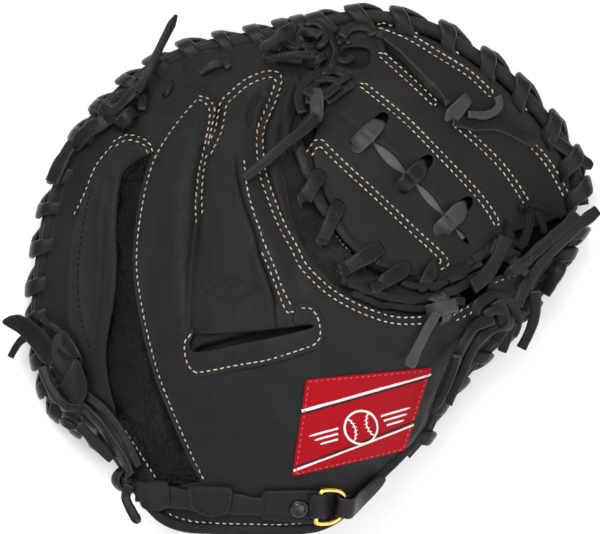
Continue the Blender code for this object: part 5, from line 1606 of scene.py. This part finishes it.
def lobe_top(p):
    swell = 3.4 * np.sin(np.clip(distance_to(LOBE_LOOP, p) / 7.0, 0, 1) * math.pi / 2)
    return (back(p) + 6.0 + swell + groove(p, [(-120, -41.5), (-115.5, -45), (-110.5, -47)], 1.6, 1.1)
            + wrinkles(p, 0.5, 182))


def knob_top(p):
    """A round knob of folded lace."""
    far = ((p[:, 0] + 113.6) ** 2 + (p[:, 1] + 74.6) ** 2) / 42
    return (back(p) + 5.0 + 5.0 * np.sqrt(np.clip(1 - far, 0, 1))
            + groove(p, [(-119, -72), (-113, -73.5), (-108, -78)], 1.4, 0.9))


def side_laces():
    flap("pinky_leaf", [(-149.5, -28), (-146, -24.6), (-141.5, -23.8), (-138.8, -24.6), (-134.5, -26.8),
                        (-130, -30.3),
                        (-126, -34.5), (-123.5, -40.5), (-124, -49), (-129, -47.5), (-134.5, -40.5),
                        (-141, -33.6)],
         lambda p: 37.5 + 0.62 * (p[:, 0] + 124) + 1.6 * np.sin(0.16 * (p[:, 0] + p[:, 1]))
         + wrinkles(p, 0.6, 185), 1.6,
         ("pinky_leaf_upper",))
    laces("pinky_tails", [hang([(-134, -34, 23), (-139.5, -36.5, 22.5), (-142.8, -40.5, 21),
                                (-145.3, -45, 18)],
                               2.0, 1.0,
                               None, 121),
                          hang([(-129, -26, 33), (-124.5, -29, 36), (-119.5, -32.5, 37)], 1.5, 1.1, None,
                               119)])
    flap("pinky_lobe", LOBE, lobe_top, 2.0)
    flap("pinky_fold", [(-112.2, -46.0), (-107.5, -54), (-106.3, -62.5), (-110, -68.8), (-118, -69.2),
                        (-125, -66.8),
                        (-119.5, -58.5)],
         lambda p: back(p) + 9.5 - 0.16 * np.abs(p[:, 0] + 112) + wrinkles(p, 0.5, 183), 2.0)
    flap("pinky_fold_under", [(-126.6, -51.5), (-121, -54), (-116.5, -55.5), (-118.5, -61), (-124.6, -67.2),
                              (-127.4, -60)], worn(back, 6.5, 0.5, 184), 2.2)
    laces("pinky_knot_laces", [bead([(-127, -56), (-115, -49)], back, 5.6, 4.0, 122),
                               hang([(-129, -50, 33), (-126, -58, 35), (-121, -66, 38), (-116, -70, 38)], 2.4,
                                    1.2, None,
                                    123)], ("pinky_knot",))
    flap("heel_knob", oval(-113.6, -74.6, 6.2, 5.4, 30, 12), knob_top, 3.0)
    laces("heel_knot_laces", [bead([(-119, -70.5), (-108.5, -70.2)], back, 9.5, 2.2, 125, -5.0, 1.4),
                              bead([(-119.5, -77), (-112, -81)], back, 9.0, 2.4, 118, -5.0, 1.4),
                              hang([(-110.5, -79, 43), (-105, -85, 43), (-99, -91, 42), (-93.8, -96, 41)],
                                   2.7,
                                   1.2,
                                   ([0, 0.95, 1], [1, 1, 0.85]), 126)], ("heel_knot",))
    laces("raw_bit", [lay([(-106.5, -77.5), (-103, -80), (-99.5, -81)], back, 3.4, 2.0, 1.0, seed=117)], (),
          TIE)
    laces("heel_strap_lace", [lay([(-109, -66), (-99, -74), (-92, -83), (-86, -92), (-81, -104)], back, 4.6,
                                  3.6, 1.2,
                                  seed=128),
                              lay([(-106, -62), (-95, -70), (-88, -79), (-82.5, -88), (-78, -99)], back, 3.2,
                                  2.4, 1.0,
                                  seed=129)], ("heel_strap",))
    laces("wrist_tail_laces", [*knot(-86, -106, back, 7.5, 6.0, 70, 130),
                               hang([(-85, -109, 52), (-87, -115, 51), (-84, -122, 54), (-80.5, -127.5, 57)],
                                    2.5, 1.1,
                                    POINTED, 131)])


def thumb_laces():
    # The crotch laces use the paler lace copy, partly painted light.
    laces("crotch_laces", [*knot(70.5, -21, back, 6.5, 7.5, 10, 140),
                           hang([(68, -23, 88), (63, -31, 90), (58, -41, 91), (54, -49.5, 91)], 2.6, 1.1,
                                     ([0, 0.3, 0.85, 0.97, 1], [0.8, 0.85, 1.12, 1.05, 0.7]), 141)],
          ("crotch_knot",), PALE_AND_LIT_LACE)
    arch_path = [(87.5, -28, 60), (87.5, -21, 62), (92, -16, 60), (99, -14.8, 55), (106, -19, 48),
                 (108.5, -27, 41),
                 (106, -34, 38)]
    laces("thumb_knot_laces", [*knot(97, -25, back, 10.0, 6.0, 55, 142), hang(arch_path, 2.9, 1.3, None, 143),
                               hang([(98, -17, 58), (101.5, -24, 56), (101, -31, 50), (98, -37, 44)], 3.1,
                                    1.2,
                                    None, 186),
                               hang([(92, -24, 61), (97, -21.5, 60), (103, -22, 55)], 2.4, 1.2, None, 187),
                               hang([(106.5, -28, 48), (104, -35, 44), (101.2, -42, 40)], 2.3, 1.2, None,
                                    144),
                               hang([(117.5, -12, 45), (117.8, -22, 41), (115.5, -31, 37), (111, -40.5, 33)],
                                    2.7, 1.2,
                                    None, 145)], ("thumb_knot",))
    laces("heel_side_laces", [hang([(96, -26, 60), (87, -30, 66), (80.5, -39, 69), (76, -50, 66),
                                    (69.5, -66, 58)], 2.7,
                                   1.1, None, 146),
                              hang([(98, -30, 56), (91, -34, 60), (85, -43, 61), (80.5, -53, 58.5),
                                    (73.5, -68, 52.5)],
                                   2.7, 1.1, None, 147)])
    bands = [hang([(108, -1.5, 49), (114.5, 4.5, 48), (121.5, 11, 45.5), (128.5, 17, 43), (134.5, 22.3, 41),
                   (138.5, 26.5, 39)], 3.0, 1.3, None, 148),
             hang([(149, 28.5, 36), (142, 22.8, 38.5), (135, 17.3, 40.5), (121, 2.8, 44), (113, -8.5, 45),
                   (108.5, -19, 46)], 3.1, 1.3, None, 149),
             bead([(103.5, -3.5), (117, 5.5)], back, 9.0, 3.3, 150, -4.0, 1.8),
             hang([(106, 3.5, 51), (109, 0, 53), (113, -3, 51)], 2.4, 1.2, None, 188)]
    laces("thumb_band_laces", bands, ("thumb_band",))
    # These laces deep in the thumb opening use the darker lace copy, painted shade.
    laces("thumb_cross_laces", [hang([(95, 21, 46), (100, 17, 48), (106, 13, 48), (112, 10, 47)], 2.0, 1.1,
                                     None, 151),
                                hang([(112, 31, 42), (115, 27, 46), (114, 19, 48), (111, 11, 48)], 2.3, 1.1,
                                     None, 152),
                                hang([(110, 29, 43), (118, 31, 44), (126, 29, 42), (131, 26, 39)], 2.0, 1.1,
                                     None, 153),
                                hang([(100, 24, 45), (104, 19, 49), (105, 12, 50), (103, 5, 50)], 2.2, 1.1,
                                     None, 189),
                                hang([(118, 27, 44), (121, 22, 45), (122, 17, 43)], 1.8, 1.1, None, 190)], (),
          PAINTED_SHADE_LACE)
    laces("thumb_edge_laces", [hang([(131, 2, 36), (129.5, -3, 38), (126, -8, 35), (122.8, -13, 31)], 2.9,
                                    1.4,
                                    None,
                                    154)])

    def upper_face(p):
        return np.maximum(back(p), web(p))

    laces("thumb_stay", [
        lay([(101.5, 15), (98.5, 8), (94, 0), (89, -6), (84, -10)], upper_face, 3.0, 3.9, 1.4, None, 191),
        lay([(95, 11), (101, 7.5), (108, 3.5)], upper_face, 1.6, 4.2, 1.3, None, 192)], (), SHELL)
    # The thumb opening's lining is dark painted shade of the hollow.
    lining = curve([(88, 8), (94, 18), (103, 26), (116, 30), (130, 32), (137, 29), (137, 20), (128, 9),
                    (114, 1),
                    (98, -4)], 2.0, True)
    sheet_between("thumb_lining", lining, worn(lower_face, -5.0, 1.5, 193), offset(lower_face, -8.0), PAINTED_SHADE_LINING,
                  (), 2.2)
    edge_top = worn(back, 2.4, 1.4, 194)
    flap("thumb_edge_leather", [(96, -6), (104, -2), (113, 3), (119, 2), (114, -6), (106, -14), (98, -18),
                                (93, -13)],
         edge_top, 3.0, (), SHELL)
    seam("thumb_edge_stitches", [[(96.5, -8), (103, -5.6), (109, -4)]], edge_top, seed=16, long=1.6,
         thick=0.28)
    strip = [(78, -44, 74), (76, -52, 67), (72, -62, 61), (67, -71, 57)]
    path = curve(strip, 1.2)
    verts, faces, wear = ribbon(path, level(path), 2.2, 1.5, POINTED, 155, uneven=0.05)
    piece = add_piece("heel_lace_end", verts, faces, CORD, ("heel_strip",), wear)


# ---------------------------------------------------------------- camera, floor and light

CAMERA_AWAY = 6.0
SENSOR_MM = 36.0
FRAME_WIDE = 0.300       # width that fills the frame, at the height below
FRAME_HEIGHT = 0.045
FLOOR_HALF = 4.0
LIGHTS = [("key", (-0.5, 1.0, 1.7), 1.3, 34, (1.0, 0.99, 0.975)),     # name, place, size, power and colour
          ("fill", (1.3, -0.9, 1.2), 1.8, 24, (0.98, 0.985, 1.0)),
          ("top", (0.2, 0.1, 2.2), 2.0, 14, (1, 1, 1)),
          ("wrist", (-0.7, -1.4, 1.3), 1.8, 10, (1, 1, 1))]


def camera():
    """A long lens straight above."""
    optics = bpy.data.cameras.new("camera")
    optics.sensor_width = SENSOR_MM
    optics.lens = SENSOR_MM * (CAMERA_AWAY - FRAME_HEIGHT) / FRAME_WIDE
    optics.clip_start, optics.clip_end = 0.1, 50.0
    made = bpy.data.objects.new("camera", optics)
    made.location = (0.0, 0.0, CAMERA_AWAY)
    bpy.context.collection.objects.link(made)
    scene.camera = made


def studio():
    """A plain pale floor, white surroundings and four soft lights."""
    mesh = bpy.data.meshes.new("floor")
    corners = [(x * FLOOR_HALF, y * FLOOR_HALF, 0) for x, y in ((-1, -1), (1, -1), (1, 1), (-1, 1))]
    mesh.from_pydata(corners, [], [(0, 1, 2, 3)])
    floor = bpy.data.objects.new("floor", mesh)
    bpy.context.collection.objects.link(floor)
    floor.location.z = -0.0005
    made, _, shader = nodes_of("floor_paper")
    shader.inputs["Base Color"].default_value = (0.95, 0.95, 0.95, 1)
    shader.inputs["Roughness"].default_value = 0.9
    mesh.materials.append(made)
    world = bpy.data.worlds.new("studio")
    world.use_nodes = True
    backdrop = world.node_tree.nodes["Background"]
    backdrop.inputs["Color"].default_value = (1, 1, 1, 1)
    backdrop.inputs["Strength"].default_value = 0.55
    scene.world = world
    for name, at, size, power, colour in LIGHTS:
        light = bpy.data.lights.new(name, "AREA")
        light.size, light.energy, light.color = size, power, colour
        lamp = bpy.data.objects.new(name, light)
        lamp.location = at
        lamp.rotation_euler = (-Vector(at)).to_track_quat("-Z", "Y").to_euler()
        bpy.context.collection.objects.link(lamp)
    scene.view_settings.view_transform = "Standard"
    scene.view_settings.look = "None"
    scene.view_settings.exposure = 0.0


camera()
toe_laces()
side_laces()
thumb_laces()
back_panels()
top_bridge()
palm_side()
edges()
side_walls()
web_side()
lower_web_lacing()
wrist()
patch()
studio()
